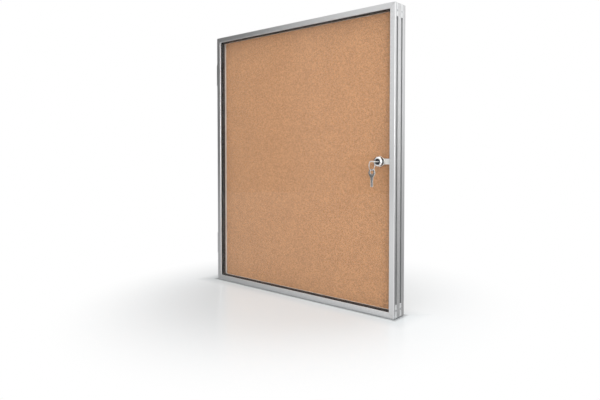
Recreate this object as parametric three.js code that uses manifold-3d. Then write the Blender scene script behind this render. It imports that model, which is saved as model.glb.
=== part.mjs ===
// Lockable notice board: a hinged, glazed door over a cork panel, both framed in mitred aluminium profiles.
// Millimetres. X runs across the board, Y from front to back, Z up. The origin is under the middle of the board.
import * as THREE from 'three';
import { mergeVertices } from 'three/addons/utils/BufferGeometryUtils.js';
import Module from 'manifold-3d';

const wasm = await Module();
wasm.setup();

// Board
const boardWidth = 590;
const boardHeight = 700;
const doorDepth = 19;
const caseDepth = 26.6;
const seamGap = 0.4;
const cornerRadius = 3;

// Fits
const fitGap = 0.3;
const mitreGap = 0.3;
const overrun = 2;

// Profiles, both frames
const wall = 1.6;
const grooveWidth = 6.5;
const grooveDepth = 5;

// Door profile
const faceWidth = 12.6;
const glassRecess = 3.8;
const lipChamfer = 0.7;
const doorGrooveStart = 6.2;
const doorRearReach = 14.2;
const doorRearLip = 2;
const doorEdgeRadius = 1.5;

// Case profile
const caseFrontReach = 14.2;
const caseFrontLip = 5.6;
const caseGrooveStart = 6.4;
const caseWebReach = 15;
const caseRearReach = 13.6;
const bevelDepth = 5.5;
const bevelInset = 1.2;

// Corner connectors and their screws
const legLength = 31;
const cornerScrewInset = 18.5;
const screwHeadRadius = 2.6;
const screwHeadRim = 0.3;
const screwHeadDepth = 1.7;
const screwShaftRadius = 1.5;
const screwTipChamfer = 0.4;
const screwTipShort = 0.2;
const recessReach = 1.5;
const recessWidth = 0.6;
const recessDepth = 0.9;

// Glazing and panel
const glassThickness = 4;
const glassEdgeGap = 0.4;
const gasketLead = 1;
const gasketNose = 0.8;
const corkThickness = 3;

// Hanging holes in the rear flange
const hangerInset = 90;
const keyholeRadius = 3.9;
const keyholeDrop = 8.9;
const keyholeSlotRadius = 2.3;
const keyholeSlotDrop = 4.7;
const fixingHoleRadius = 2.3;
const fixingHoleDrop = 7.5;

// Hinges
const hingeInset = 106;
const hingeLength = 58;
const hingeTail = 12;
const doorKnuckle = 28;
const knuckleGap = 0.4;
const knuckleRadius = 3.2;
const pinRadius = 1.5;
const pinOut = 3.5;
const pinBack = 6.5;
const pinHeadRadius = 2.4;
const pinHeadHeight = 1.1;
const leafThickness = 1.6;
const leafSink = 0.2;
const neckDepth = 3;
const notchDepth = 4.7;

// Lock
const lockInset = 43.4;
const lockProud = 1.5;
const headRadius = 11.5;
const headFrontRadius = 7.75;
const headRim = 0.5;
const barrelRadius = 9;
const barrelLength = 17.9;
const plugRadius = 6.1;
const plugChamfer = 0.4;
const washerRadius = 11;
const frontWasherThickness = 0.8;
const rearWasherThickness = 1.2;
const nutFlats = 22;
const nutSides = 6;
const nutThickness = 3;
const glassHoleRadius = 9.8;
const tailSide = 7;
const camThickness = 1.9;
const camHubRadius = 7.5;
const camWidth = 13;
const camTipRadius = 2;
const camTipGap = 0.8;
const camScrewHeadRadius = 4.6;
const camScrewHeadHeight = 1.5;
const camScrewRadius = 1.5;
const camScrewLength = 3;
const camScrewEndGap = 0.3;

// Keys
const keyThickness = 2;
const bowLength = 18.5;
const bowWidth = 18;
const bowHoleRadius = 4.5;
const bowBar = 2.4;
const bowCornerRadius = 2.2;
const neckOut = 5;
const bladeInsertion = 16.5;
const bladeWidth = 6.6;
const bladeTip = 1.8;
const bittingDepth = 1.1;
const keywayEndGap = 0.3;

// Key ring
const ringRadius = 11;
const ringWire = 0.9;

// Facets
const screwSegments = 12;
const holeSegments = 16;
const turnedSegments = 32;
const ringSegments = 40;
const wireSegments = 8;
const curveSegments = 4;
const domeSteps = 7;

// Outline of a key's bow as shares of its half width and its length, from the bow's end to the blade
const bowOutlineShares = [
  [0.66, 0],
  [1, 0.42],
  [0.93, 0.62],
  [0.42, 1],
];

// Depth of each cut along the blade, as a share of the deepest
const bittingShares = [0.55, 1, 0.3, 0.8, 0.45];

// Where a cut starts, and where its floor starts and ends, as shares of a cut's length
const cutShares = [0.5, 0.85, 1.15];

// Places that follow from the sizes
const boardDepth = doorDepth + seamGap + caseDepth;
const frontY = -boardDepth / 2;
const caseFrontY = frontY + doorDepth + seamGap;
const connectorThickness = grooveDepth - fitGap;
const connectorWidth = grooveWidth - 2 * fitGap;
const grooveFloor = grooveDepth + wall;
const screwLength = grooveFloor - screwTipShort;
const glassFront = glassRecess + fitGap;
const glassBack = glassFront + glassThickness;
const lockX = boardWidth / 2 - lockInset;
const lockZ = boardHeight / 2;

const finishes = {
  aluminium: { color: 0xc6c8ca, roughness: 0.38, metalness: 0.9 },
  connector: { color: 0xd8dadc, roughness: 0.45, metalness: 0.7 },
  steel: { color: 0xa9adb0, roughness: 0.3, metalness: 1 },
  chrome: { color: 0xe3e6e8, roughness: 0.08, metalness: 1 },
  nickel: { color: 0xb8b6b0, roughness: 0.22, metalness: 1 },
  rubber: { color: 0x17181a, roughness: 0.8, metalness: 0 },
  glass: { color: 0xf2f7f6, roughness: 0.03, metalness: 0, transparent: true, opacity: 0.15 },
  cork: { color: 0xc1946f, roughness: 0.95, metalness: 0 },
  fibreboard: { color: 0x8a6a48, roughness: 0.9, metalness: 0 },
};

const materials = {};
for (const [name, finish] of Object.entries(finishes)) {
  materials[name] = new THREE.MeshStandardMaterial({ name, flatShading: true, ...finish });
}

// Makes a manifold solid of a closed three.js geometry, with its faces pointing out.
function solidOf(geometry) {
  geometry.deleteAttribute('normal');
  geometry.deleteAttribute('uv');
  const merged = mergeVertices(geometry);
  const vertices = merged.attributes.position.array;
  const index = merged.index.array;
  const corners = [new THREE.Vector3(), new THREE.Vector3(), new THREE.Vector3()];
  const kept = [];
  let volume = 0;
  for (let i = 0; i < index.length; i += 3) {
    const [a, b, c] = [index[i], index[i + 1], index[i + 2]];
    if (a === b || b === c || c === a) continue;
    [a, b, c].forEach((vertex, k) => corners[k].fromArray(vertices, 3 * vertex));
    volume += corners[0].dot(corners[1].cross(corners[2]));
    kept.push(a, b, c);
  }
  if (volume < 0) kept.reverse();
  const mesh = new wasm.Mesh({
    numProp: 3,
    vertProperties: new Float32Array(vertices),
    triVerts: new Uint32Array(kept),
  });
  return new wasm.Manifold(mesh);
}

// Makes a named mesh of a solid and adds it to its parent group.
function addPiece(parent, name, solid, material) {
  const { vertProperties, triVerts } = solid.getMesh();
  const geometry = new THREE.BufferGeometry();
  geometry.setAttribute('position', new THREE.BufferAttribute(new Float32Array(vertProperties), 3));
  geometry.setIndex(new THREE.BufferAttribute(new Uint32Array(triVerts), 1));
  geometry.computeVertexNormals();
  const mesh = new THREE.Mesh(geometry, material);
  mesh.name = name;
  parent.add(mesh);
  return mesh;
}

// A box between two corners.
function boxBetween(low, high) {
  const size = high.map((value, axis) => value - low[axis]);
  const geometry = new THREE.BoxGeometry(...size);
  geometry.translate(...high.map((value, axis) => (value + low[axis]) / 2));
  return solidOf(geometry);
}

// A round bar or hole along Y, between two depths.
function roundAlongY(radius, from, to, segments) {
  const geometry = new THREE.CylinderGeometry(radius, radius, to - from, segments);
  geometry.translate(0, (from + to) / 2, 0);
  return geometry;
}

// A turned piece about the Y axis, from a closed outline of [radius, depth] points.
function turned(outline, segments) {
  const points = [...outline, outline[0]].map(([radius, depth]) => new THREE.Vector2(radius, depth));
  return solidOf(new THREE.LatheGeometry(points, segments));
}

// A flat outline in X and Z, given thickness along Y from one depth to another.
function plateAlongY(shape, from, to) {
  const geometry = new THREE.ExtrudeGeometry(shape, {
    depth: to - from,
    bevelEnabled: false,
    curveSegments,
  });
  geometry.rotateX(Math.PI / 2);
  geometry.translate(0, to, 0);
  return solidOf(geometry);
}

// A closed outline of a polygon, with each corner rounded.
function roundedOutline(points, radius) {
  const shape = new THREE.Shape();
  const count = points.length;
  for (let i = 0; i < count; i += 1) {
    const corner = new THREE.Vector2(...points[i]);
    const before = new THREE.Vector2(...points[(i + count - 1) % count]).sub(corner);
    const after = new THREE.Vector2(...points[(i + 1) % count]).sub(corner);
    const reach = Math.min(radius, before.length() / 2, after.length() / 2);
    const start = before.setLength(reach).add(corner);
    const end = after.setLength(reach).add(corner);
    if (i === 0) shape.moveTo(start.x, start.y);
    else shape.lineTo(start.x, start.y);
    shape.quadraticCurveTo(corner.x, corner.y, end.x, end.y);
  }
  shape.closePath();
  return shape;
}

// A closed outline of straight lines.
function straightOutline(points) {
  return new THREE.Shape(points.map(([x, y]) => new THREE.Vector2(x, y)));
}

// Section of a door profile: X is the distance in from the outer side, Y the depth behind the front face.
function doorSection() {
  const grooveEnd = doorGrooveStart + grooveWidth;
  const shape = new THREE.Shape();
  shape.moveTo(0, doorEdgeRadius);
  shape.absarc(doorEdgeRadius, doorEdgeRadius, doorEdgeRadius, Math.PI, 1.5 * Math.PI, false);
  shape.lineTo(faceWidth - lipChamfer, 0);
  shape.lineTo(faceWidth, lipChamfer);
  shape.lineTo(faceWidth, glassRecess);
  shape.lineTo(faceWidth - wall, glassRecess);
  shape.lineTo(faceWidth - wall, wall);
  shape.lineTo(wall, wall);
  shape.lineTo(wall, doorGrooveStart - wall);
  shape.lineTo(grooveFloor, doorGrooveStart - wall);
  shape.lineTo(grooveFloor, grooveEnd + wall);
  shape.lineTo(wall, grooveEnd + wall);
  shape.lineTo(wall, doorDepth - wall);
  shape.lineTo(doorRearReach - wall, doorDepth - wall);
  shape.lineTo(doorRearReach - wall, doorDepth - doorRearLip);
  shape.lineTo(doorRearReach, doorDepth - doorRearLip);
  shape.lineTo(doorRearReach, doorDepth);
  shape.lineTo(0, doorDepth);
  shape.lineTo(0, grooveEnd);
  shape.lineTo(grooveDepth, grooveEnd);
  shape.lineTo(grooveDepth, doorGrooveStart);
  shape.lineTo(0, doorGrooveStart);
  shape.closePath();
  return shape;
}

// Section of a case profile: a channel for the panel, then an open chamber and a flange against the wall.
function caseSection() {
  const grooveEnd = caseGrooveStart + grooveWidth;
  const bevelStart = caseDepth - bevelDepth;
  return straightOutline([
    [0, 0],
    [caseFrontReach, 0],
    [caseFrontReach, caseFrontLip],
    [caseFrontReach - wall, caseFrontLip],
    [caseFrontReach - wall, wall],
    [wall, wall],
    [wall, caseGrooveStart - wall],
    [grooveFloor, caseGrooveStart - wall],
    [grooveFloor, grooveEnd],
    [caseWebReach, grooveEnd],
    [caseWebReach, grooveEnd + wall],
    [wall, grooveEnd + wall],
    [wall, bevelStart],
    [wall + bevelInset, caseDepth - wall],
    [caseRearReach, caseDepth - wall],
    [caseRearReach, caseDepth],
    [bevelInset, caseDepth],
    [0, bevelStart],
    [0, grooveEnd],
    [grooveDepth, grooveEnd],
    [grooveDepth, caseGrooveStart],
    [0, caseGrooveStart],
  ]);
}

// Section of the glazing gasket, which presses the glass forward against the door's front lip.
function gasketSection() {
  const outer = grooveFloor + fitGap;
  const front = glassBack + fitGap;
  const back = doorDepth - doorRearLip - fitGap;
  return straightOutline([
    [outer, front + gasketLead],
    [outer + gasketLead, front],
    [doorRearReach, front],
    [doorRearReach, back - gasketNose],
    [doorRearReach - gasketNose, back],
    [outer, back],
  ]);
}

// A straight bar with both ends mitred. Its outer side lies in the plane Z = 0 and it runs along X.
function mitredBar(section, span) {
  const geometry = new THREE.ExtrudeGeometry(section, { depth: span, bevelEnabled: false, curveSegments });
  const position = geometry.attributes.position;
  for (let i = 0; i < position.count; i += 1) {
    const inward = position.getX(i);
    const depth = position.getY(i);
    const end = position.getZ(i) > span / 2 ? 1 : -1;
    const reach = span / 2 - inward - mitreGap * Math.SQRT1_2;
    position.setXYZ(i, end * reach, depth, -inward);
  }
  return solidOf(geometry);
}

// Rounds the outer corners of a mitred bar.
function withRoundedEnds(bar, span, depth) {
  const half = span / 2;
  const inner = -(caseWebReach + overrun);
  const shape = new THREE.Shape();
  shape.moveTo(-half, inner);
  shape.lineTo(half, inner);
  shape.lineTo(half, -cornerRadius);
  shape.absarc(half - cornerRadius, -cornerRadius, cornerRadius, 0, Math.PI / 2, false);
  shape.lineTo(cornerRadius - half, 0);
  shape.absarc(cornerRadius - half, -cornerRadius, cornerRadius, Math.PI / 2, Math.PI, false);
  shape.closePath();
  return bar.intersect(plateAlongY(shape, -overrun, depth + overrun));
}

// A countersunk screw about the Z axis, its head's top at Z = 0. With a gap it is the hole for that screw.
function screwBody(gap) {
  const shaft = screwShaftRadius + gap;
  const head = screwHeadRadius + gap;
  const top = gap > 0 ? overrun : 0;
  const end = gap > 0 ? screwLength + overrun : screwLength;
  const outline = [
    new THREE.Vector2(0, -end),
    new THREE.Vector2(shaft - screwTipChamfer, -end),
    new THREE.Vector2(shaft, screwTipChamfer - end),
    new THREE.Vector2(shaft, -screwHeadDepth),
    new THREE.Vector2(head, -screwHeadRim),
    new THREE.Vector2(head, top),
    new THREE.Vector2(0, top),
  ];
  const geometry = new THREE.LatheGeometry(outline, screwSegments);
  geometry.rotateX(Math.PI / 2);
  return solidOf(geometry);
}

const screwHole = screwBody(fitGap);

// The cross recess of a screw head whose top lies at Z = 0.
function crossRecess() {
  const across = boxBetween(
    [-recessReach, -recessWidth / 2, -recessDepth],
    [recessReach, recessWidth / 2, overrun],
  );
  const along = boxBetween(
    [-recessWidth / 2, -recessReach, -recessDepth],
    [recessWidth / 2, recessReach, overrun],
  );
  return across.add(along);
}

const countersunkScrew = screwBody(0).subtract(crossRecess());

// Cuts the holes for a bar's screws, each at a place along the bar.
function drilled(bar, places, grooveStart) {
  const depth = grooveStart + grooveWidth / 2;
  return places.reduce((solid, along) => solid.subtract(screwHole.translate([along, depth, 0])), bar);
}

// A keyhole through the rear flange of the upper case profile, open towards the top.
function keyholeCut(along) {
  const from = caseDepth - wall - overrun;
  const to = caseDepth + overrun;
  const headHole = roundAlongY(keyholeRadius, from, to, holeSegments);
  headHole.translate(along, 0, -keyholeDrop);
  const slotEnd = roundAlongY(keyholeSlotRadius, from, to, holeSegments);
  slotEnd.translate(along, 0, -keyholeSlotDrop);
  const slot = boxBetween(
    [along - keyholeSlotRadius, from, -keyholeDrop],
    [along + keyholeSlotRadius, to, -keyholeSlotDrop],
  );
  return solidOf(headHole).add(solidOf(slotEnd)).add(slot);
}

// A plain screw hole through the rear flange of the lower case profile.
function fixingHoleCut(along) {
  const hole = roundAlongY(fixingHoleRadius, caseDepth - wall - overrun, caseDepth + overrun, holeSegments);
  hole.translate(along, 0, -fixingHoleDrop);
  return solidOf(hole);
}

// The two hinges: their heights, and the side of the knuckle on which the screwed tail lies.
const hinges = [
  { place: 'upper', z: boardHeight - hingeInset, tail: -1 },
  { place: 'lower', z: hingeInset, tail: 1 },
];

function hingeScrewZ(hinge) {
  return hinge.z + hinge.tail * ((hingeLength + hingeTail) / 2);
}

// The four sides of a frame. The turn about Y carries a bar's outer side from the top to its own side.
const sides = [
  { side: 'top', span: boardWidth, turn: 0, x: 0, z: boardHeight },
  { side: 'right', span: boardHeight, turn: Math.PI / 2, x: boardWidth / 2, z: boardHeight / 2 },
  { side: 'bottom', span: boardWidth, turn: Math.PI, x: 0, z: 0 },
  { side: 'left', span: boardHeight, turn: -Math.PI / 2, x: -boardWidth / 2, z: boardHeight / 2 },
];

// The four corners of a frame, with the turn that carries the upper right corner to each.
const corners = [
  { corner: 'top_right', turn: 0, x: boardWidth / 2, z: boardHeight },
  { corner: 'bottom_right', turn: Math.PI / 2, x: boardWidth / 2, z: 0 },
  { corner: 'bottom_left', turn: Math.PI, x: -boardWidth / 2, z: 0 },
  { corner: 'top_left', turn: -Math.PI / 2, x: -boardWidth / 2, z: boardHeight },
];

// Makes the four mitred profiles of one frame.
function addProfiles(parent, frame) {
  for (const { side, span, turn, x, z } of sides) {
    const places = [span / 2 - cornerScrewInset, cornerScrewInset - span / 2];
    if (side === 'left') places.push(...hinges.map((hinge) => hingeScrewZ(hinge) - boardHeight / 2));
    let bar = withRoundedEnds(mitredBar(frame.section, span), span, frame.depth);
    bar = drilled(bar, places, frame.grooveStart);
    for (const cut of frame.rearCuts[side] ?? []) bar = bar.subtract(cut);
    const mesh = addPiece(parent, `${frame.name}_profile_${side}`, bar, materials.aluminium);
    mesh.position.set(x, frame.frontY, z);
    mesh.rotation.y = turn;
  }
}

// An L-shaped connector that fills the outer grooves round a corner, flush with the outer sides.
function cornerConnector() {
  const shape = new THREE.Shape();
  shape.moveTo(-legLength, 0);
  shape.lineTo(-legLength, -connectorThickness);
  shape.lineTo(-connectorThickness, -connectorThickness);
  shape.lineTo(-connectorThickness, -legLength);
  shape.lineTo(0, -legLength);
  shape.lineTo(0, -cornerRadius);
  shape.absarc(-cornerRadius, -cornerRadius, cornerRadius, 0, Math.PI / 2, false);
  shape.closePath();
  const upperHole = screwHole.translate([-cornerScrewInset, 0, 0]);
  const sideHole = screwHole.rotate([0, 90, 0]).translate([0, 0, -cornerScrewInset]);
  return plateAlongY(shape, -connectorWidth / 2, connectorWidth / 2).subtract(upperHole).subtract(sideHole);
}

// Makes the four corner connectors of one frame and their screws, in rails (across) and stiles (upright).
function addCorners(parent, frame) {
  const connector = cornerConnector();
  for (const { corner, turn, x, z } of corners) {
    const place = new THREE.Group();
    place.position.set(x, frame.frontY + frame.grooveStart + grooveWidth / 2, z);
    place.rotation.y = turn;
    parent.add(place);
    addPiece(place, `${frame.name}_corner_${corner}`, connector, materials.connector);
    const first = addPiece(place, `${frame.name}_screw_${corner}_a`, countersunkScrew, materials.steel);
    first.position.x = -cornerScrewInset;
    const second = addPiece(place, `${frame.name}_screw_${corner}_b`, countersunkScrew, materials.steel);
    second.position.z = -cornerScrewInset;
    second.rotation.y = Math.PI / 2;
  }
}

// The cork sheet and the board behind it, held in the case profiles' channel.
function addPanel(parent) {
  const edge = grooveFloor + fitGap;
  const low = [edge - boardWidth / 2, edge];
  const high = [boardWidth / 2 - edge, boardHeight - edge];
  const corkFront = caseFrontY + caseFrontLip + fitGap;
  const corkBack = corkFront + corkThickness;
  const boardBack = caseFrontY + caseGrooveStart + grooveWidth - fitGap;
  const cork = boxBetween([low[0], corkFront, low[1]], [high[0], corkBack, high[1]]);
  const board = boxBetween([low[0], corkBack + fitGap, low[1]], [high[0], boardBack, high[1]]);
  addPiece(parent, 'cork_sheet', cork, materials.cork);
  addPiece(parent, 'backing_board', board, materials.fibreboard);
}

// The glass pane, bored for the lock, and the four mitred strips of the gasket behind it.
function addGlazing(parent) {
  const edge = grooveFloor + glassEdgeGap;
  const pane = boxBetween(
    [edge - boardWidth / 2, frontY + glassFront, edge],
    [boardWidth / 2 - edge, frontY + glassBack, boardHeight - edge],
  );
  const hole = roundAlongY(glassHoleRadius, frontY, frontY + doorDepth, turnedSegments);
  hole.translate(lockX, 0, lockZ);
  addPiece(parent, 'glass_pane', pane.subtract(solidOf(hole)), materials.glass);
  for (const { side, span, turn, x, z } of sides) {
    const strip = addPiece(parent, `gasket_${side}`, mitredBar(gasketSection(), span), materials.rubber);
    strip.position.set(x, frontY, z);
    strip.rotation.y = turn;
  }
}

// A barrel about the hinge pin, between two heights.
function knuckle(from, to) {
  const geometry = new THREE.CylinderGeometry(knuckleRadius, knuckleRadius, to - from, 2 * screwSegments);
  geometry.rotateX(Math.PI / 2);
  geometry.translate(-pinOut, pinBack, (from + to) / 2);
  return solidOf(geometry);
}

// The bore for the hinge pin.
function pinBore() {
  const bore = new THREE.CylinderGeometry(
    pinRadius + fitGap,
    pinRadius + fitGap,
    hingeLength + 2 * overrun,
    screwSegments,
  );
  bore.rotateX(Math.PI / 2);
  bore.translate(-pinOut, pinBack, 0);
  return solidOf(bore);
}

// The part of a leaf that fills the profile's groove, longer than the knuckles by the screwed tail.
function leafFoot(grooveStart, tail) {
  const from = tail < 0 ? -hingeLength / 2 - hingeTail : -hingeLength / 2;
  const to = tail < 0 ? hingeLength / 2 : hingeLength / 2 + hingeTail;
  const foot = boxBetween(
    [leafSink, grooveStart + fitGap, from],
    [connectorThickness, grooveStart + grooveWidth - fitGap, to],
  );
  const hole = screwHole
    .rotate([0, -90, 0])
    .translate([leafSink, grooveStart + grooveWidth / 2, (tail * (hingeLength + hingeTail)) / 2]);
  return foot.subtract(hole);
}

// The door's leaf: a foot in the door's groove and the middle knuckle.
function doorLeaf(tail) {
  const half = doorKnuckle / 2;
  const neck = boxBetween([-pinOut, pinBack, -half], [connectorThickness, pinBack + neckDepth, half]);
  return leafFoot(doorGrooveStart, tail).add(neck).add(knuckle(-half, half)).subtract(pinBore());
}

// The case's leaf: a foot in the case's groove, a plate along the door's side and the outer knuckles.
function caseLeaf(tail) {
  const half = hingeLength / 2;
  const inner = doorKnuckle / 2 + knuckleGap;
  const grooveStart = doorDepth + seamGap + caseGrooveStart;
  const plateBack = grooveStart + grooveWidth - fitGap;
  const plate = boxBetween([-fitGap - leafThickness, pinBack, -half], [-fitGap, plateBack, half]);
  const web = boxBetween([-fitGap - leafThickness, grooveStart + fitGap, -half], [grooveDepth / 2, plateBack, half]);
  const notch = boxBetween([-pinOut, pinBack - overrun, -inner], [0, pinBack + notchDepth, inner]);
  return leafFoot(grooveStart, tail)
    .add(plate)
    .add(web)
    .subtract(notch)
    .add(knuckle(inner, half))
    .add(knuckle(-half, -inner))
    .subtract(pinBore());
}

// The hinge pin with a head at each end.
function hingePin() {
  const end = hingeLength / 2 + fitGap;
  const tip = end + pinHeadHeight;
  const outline = [
    [0, -tip],
    [pinHeadRadius, -tip],
    [pinHeadRadius, -end],
    [pinRadius, -end],
    [pinRadius, end],
    [pinHeadRadius, end],
    [pinHeadRadius, tip],
    [0, tip],
  ].map(([radius, height]) => new THREE.Vector2(radius, height));
  const geometry = new THREE.LatheGeometry(outline, screwSegments);
  geometry.rotateX(Math.PI / 2);
  geometry.translate(-pinOut, pinBack, 0);
  return solidOf(geometry);
}

// Both hinges, in the frame's left outer grooves.
function addHinges(doorGroup, caseGroup) {
  for (const hinge of hinges) {
    const leaves = [
      { parent: doorGroup, name: 'door', solid: doorLeaf(hinge.tail), groove: doorGrooveStart },
      {
        parent: caseGroup,
        name: 'case',
        solid: caseLeaf(hinge.tail),
        groove: doorDepth + seamGap + caseGrooveStart,
      },
    ];
    for (const leaf of leaves) {
      const name = `hinge_${leaf.name}_leaf_${hinge.place}`;
      const mesh = addPiece(leaf.parent, name, leaf.solid, materials.aluminium);
      mesh.position.set(-boardWidth / 2, frontY, hinge.z);
      const screwName = `hinge_${leaf.name}_screw_${hinge.place}`;
      const screw = addPiece(leaf.parent, screwName, countersunkScrew, materials.steel);
      screw.position.set(
        leafSink - boardWidth / 2,
        frontY + leaf.groove + grooveWidth / 2,
        hingeScrewZ(hinge),
      );
      screw.rotation.y = -Math.PI / 2;
    }
    const pin = addPiece(caseGroup, `hinge_pin_${hinge.place}`, hingePin(), materials.steel);
    pin.position.set(-boardWidth / 2, frontY, hinge.z);
  }
}

// Depths along the lock, from the board's front face
const headBack = glassFront - fitGap - frontWasherThickness - fitGap;
const barrelBack = barrelLength - lockProud;
const plugBack = barrelBack + fitGap;
const camFront = plugBack + fitGap;
const camBack = camFront + camThickness;
const keyTip = bladeInsertion - lockProud;
const keywayEnd = keyTip + keywayEndGap;
const camScrewSeat = camBack + fitGap;
const camScrewTip = camScrewSeat - camScrewLength;

// The lock's outer body: a domed head in front of the glass and a barrel through it.
function lockHousing() {
  const bore = plugRadius + fitGap;
  const domeDepth = headBack - headRim + lockProud;
  const outline = [];
  for (let step = 0; step <= domeSteps; step += 1) {
    const angle = (step / domeSteps) * (Math.PI / 2);
    outline.push([
      headFrontRadius + (headRadius - headFrontRadius) * Math.sin(angle),
      domeDepth * (1 - Math.cos(angle)) - lockProud,
    ]);
  }
  outline.push([headRadius, headBack]);
  outline.push([barrelRadius, headBack]);
  outline.push([barrelRadius, barrelBack]);
  outline.push([bore, barrelBack]);
  outline.push([bore, -lockProud]);
  return turned(outline, turnedSegments);
}

// A flat ring round the lock's barrel.
function barrelRing(radius, from, thickness, segments) {
  const bore = roundAlongY(barrelRadius + fitGap, from - overrun, from + thickness + overrun, turnedSegments);
  return solidOf(roundAlongY(radius, from, from + thickness, segments)).subtract(solidOf(bore));
}

// The plug that the key turns, with its keyway, its square tail for the cam and the hole for the cam's screw.
function lockPlug() {
  const body = solidOf(
    new THREE.LatheGeometry(
      [
        new THREE.Vector2(0, -lockProud),
        new THREE.Vector2(plugRadius - plugChamfer, -lockProud),
        new THREE.Vector2(plugRadius, plugChamfer - lockProud),
        new THREE.Vector2(plugRadius, plugBack),
        new THREE.Vector2(0, plugBack),
      ],
      turnedSegments,
    ),
  );
  const tail = boxBetween(
    [-tailSide / 2, plugBack - overrun, -tailSide / 2],
    [tailSide / 2, camBack, tailSide / 2],
  );
  const keyway = boxBetween(
    [-bladeWidth / 2 - fitGap, -lockProud - overrun, -keyThickness / 2 - fitGap],
    [bladeWidth / 2 + fitGap, keywayEnd, keyThickness / 2 + fitGap],
  );
  const hole = roundAlongY(
    camScrewRadius + fitGap,
    camScrewTip - camScrewEndGap,
    camBack + overrun,
    screwSegments,
  );
  return body.add(tail).subtract(keyway).subtract(solidOf(hole));
}

// The flat cam on the plug's tail. Its tip stops short of the frame's inner side.
function lockCam() {
  const reach = lockInset - doorRearReach - camTipGap;
  const half = camWidth / 2;
  const arm = roundedOutline(
    [
      [0, -half],
      [reach, -half],
      [reach, half],
      [0, half],
    ],
    camTipRadius,
  );
  const hub = roundAlongY(camHubRadius, camFront, camBack, turnedSegments);
  const squareHole = boxBetween(
    [-tailSide / 2 - fitGap, camFront - overrun, -tailSide / 2 - fitGap],
    [tailSide / 2 + fitGap, camBack + overrun, tailSide / 2 + fitGap],
  );
  return solidOf(hub).add(plateAlongY(arm, camFront, camBack)).subtract(squareHole);
}

// The screw that holds the cam, driven in from behind.
function camScrew() {
  const head = camScrewSeat + camScrewHeadHeight;
  const outline = [
    new THREE.Vector2(0, camScrewTip),
    new THREE.Vector2(camScrewRadius, camScrewTip),
    new THREE.Vector2(camScrewRadius, camScrewSeat),
    new THREE.Vector2(camScrewHeadRadius, camScrewSeat),
    new THREE.Vector2(camScrewHeadRadius, head - screwHeadRim),
    new THREE.Vector2(camScrewHeadRadius - screwHeadRim, head),
    new THREE.Vector2(0, head),
  ];
  const body = solidOf(new THREE.LatheGeometry(outline, 2 * screwSegments));
  const recess = crossRecess().rotate([-90, 0, 0]).translate([0, head, 0]);
  return body.subtract(recess);
}

// The lock's fixed pieces go on the door, the turning ones in their own group.
function addLock(doorGroup, plugGroup) {
  const nutRadius = nutFlats / 2 / Math.cos(Math.PI / nutSides);
  const frontWasherFrom = headBack + fitGap;
  const rearWasherFrom = glassBack + fitGap;
  const nutFrom = rearWasherFrom + rearWasherThickness + fitGap;
  const frontWasher = barrelRing(washerRadius, frontWasherFrom, frontWasherThickness, turnedSegments);
  const rearWasher = barrelRing(washerRadius, rearWasherFrom, rearWasherThickness, turnedSegments);
  const nut = barrelRing(nutRadius, nutFrom, nutThickness, nutSides);
  addPiece(doorGroup, 'lock_housing', lockHousing(), materials.chrome);
  addPiece(doorGroup, 'lock_front_washer', frontWasher, materials.rubber);
  addPiece(doorGroup, 'lock_rear_washer', rearWasher, materials.rubber);
  addPiece(doorGroup, 'lock_nut', nut, materials.chrome);
  addPiece(plugGroup, 'lock_plug', lockPlug(), materials.steel);
  addPiece(plugGroup, 'lock_cam', lockCam(), materials.chrome);
  addPiece(plugGroup, 'lock_cam_screw', camScrew(), materials.steel);
}

// One edge of the blade, from the bow to the tip, as distances out from the blade's middle.
function bladeEdge(cuts) {
  const half = bladeWidth / 2;
  const cutLength = (bladeInsertion - bladeTip) / (cuts.length + 1);
  const points = [[half, bowLength]];
  cuts.forEach((share, i) => {
    const [start, floorStart, floorEnd] = cutShares.map(
      (place) => bowLength + neckOut + cutLength * (i + place),
    );
    const depth = half - bittingDepth * share;
    points.push([half, start]);
    points.push([depth, floorStart]);
    points.push([depth, floorEnd]);
  });
  const end = bowLength + neckOut + bladeInsertion;
  points.push([half, end - bladeTip]);
  points.push([half - bladeTip, end]);
  return points;
}

// A flat key in X and Y: the bow's end at Y = 0, the blade towards +Y, the thickness centred on Z = 0.
function flatKey() {
  const half = bowWidth / 2;
  const bow = bowOutlineShares.map(([width, length]) => [half * width, bowLength * length]);
  const mirrored = bow.map(([x, y]) => [-x, y]).reverse();
  const bowShape = roundedOutline([...bow, ...mirrored], bowCornerRadius);
  const hole = new THREE.Path();
  hole.absarc(0, bowBar + bowHoleRadius, bowHoleRadius, 0, 2 * Math.PI, true);
  bowShape.holes.push(hole);
  const rightEdge = bladeEdge(bittingShares);
  const leftEdge = bladeEdge([...bittingShares].reverse()).map(([x, y]) => [-x, y]).reverse();
  const rootY = bowLength - bladeWidth / 2;
  const blade = straightOutline([[bladeWidth / 2, rootY], ...rightEdge, ...leftEdge, [-bladeWidth / 2, rootY]]);
  const extrusion = { depth: keyThickness, bevelEnabled: false, curveSegments: holeSegments };
  const bowGeometry = new THREE.ExtrudeGeometry(bowShape, { ...extrusion, curveSegments });
  const bladeGeometry = new THREE.ExtrudeGeometry(blade, extrusion);
  const key = solidOf(bowGeometry).add(solidOf(bladeGeometry));
  return key.translate([0, 0, -keyThickness / 2]);
}

// Places of the keys and of the ring, from the lock's axis
const bowEndDepth = -lockProud - neckOut - bowLength;
const ringDepth = bowEndDepth + bowBar / 2;
const innerRing = ringRadius - ringWire;
const ringTopGap = keyThickness / 2 + fitGap;
const ringDrop = Math.sqrt(innerRing ** 2 - (bowBar / 2) ** 2) - ringTopGap;
const hangDrop = ringDrop + ringRadius;
const spareTop = bowBar + fitGap + ringWire - hangDrop;

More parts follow.
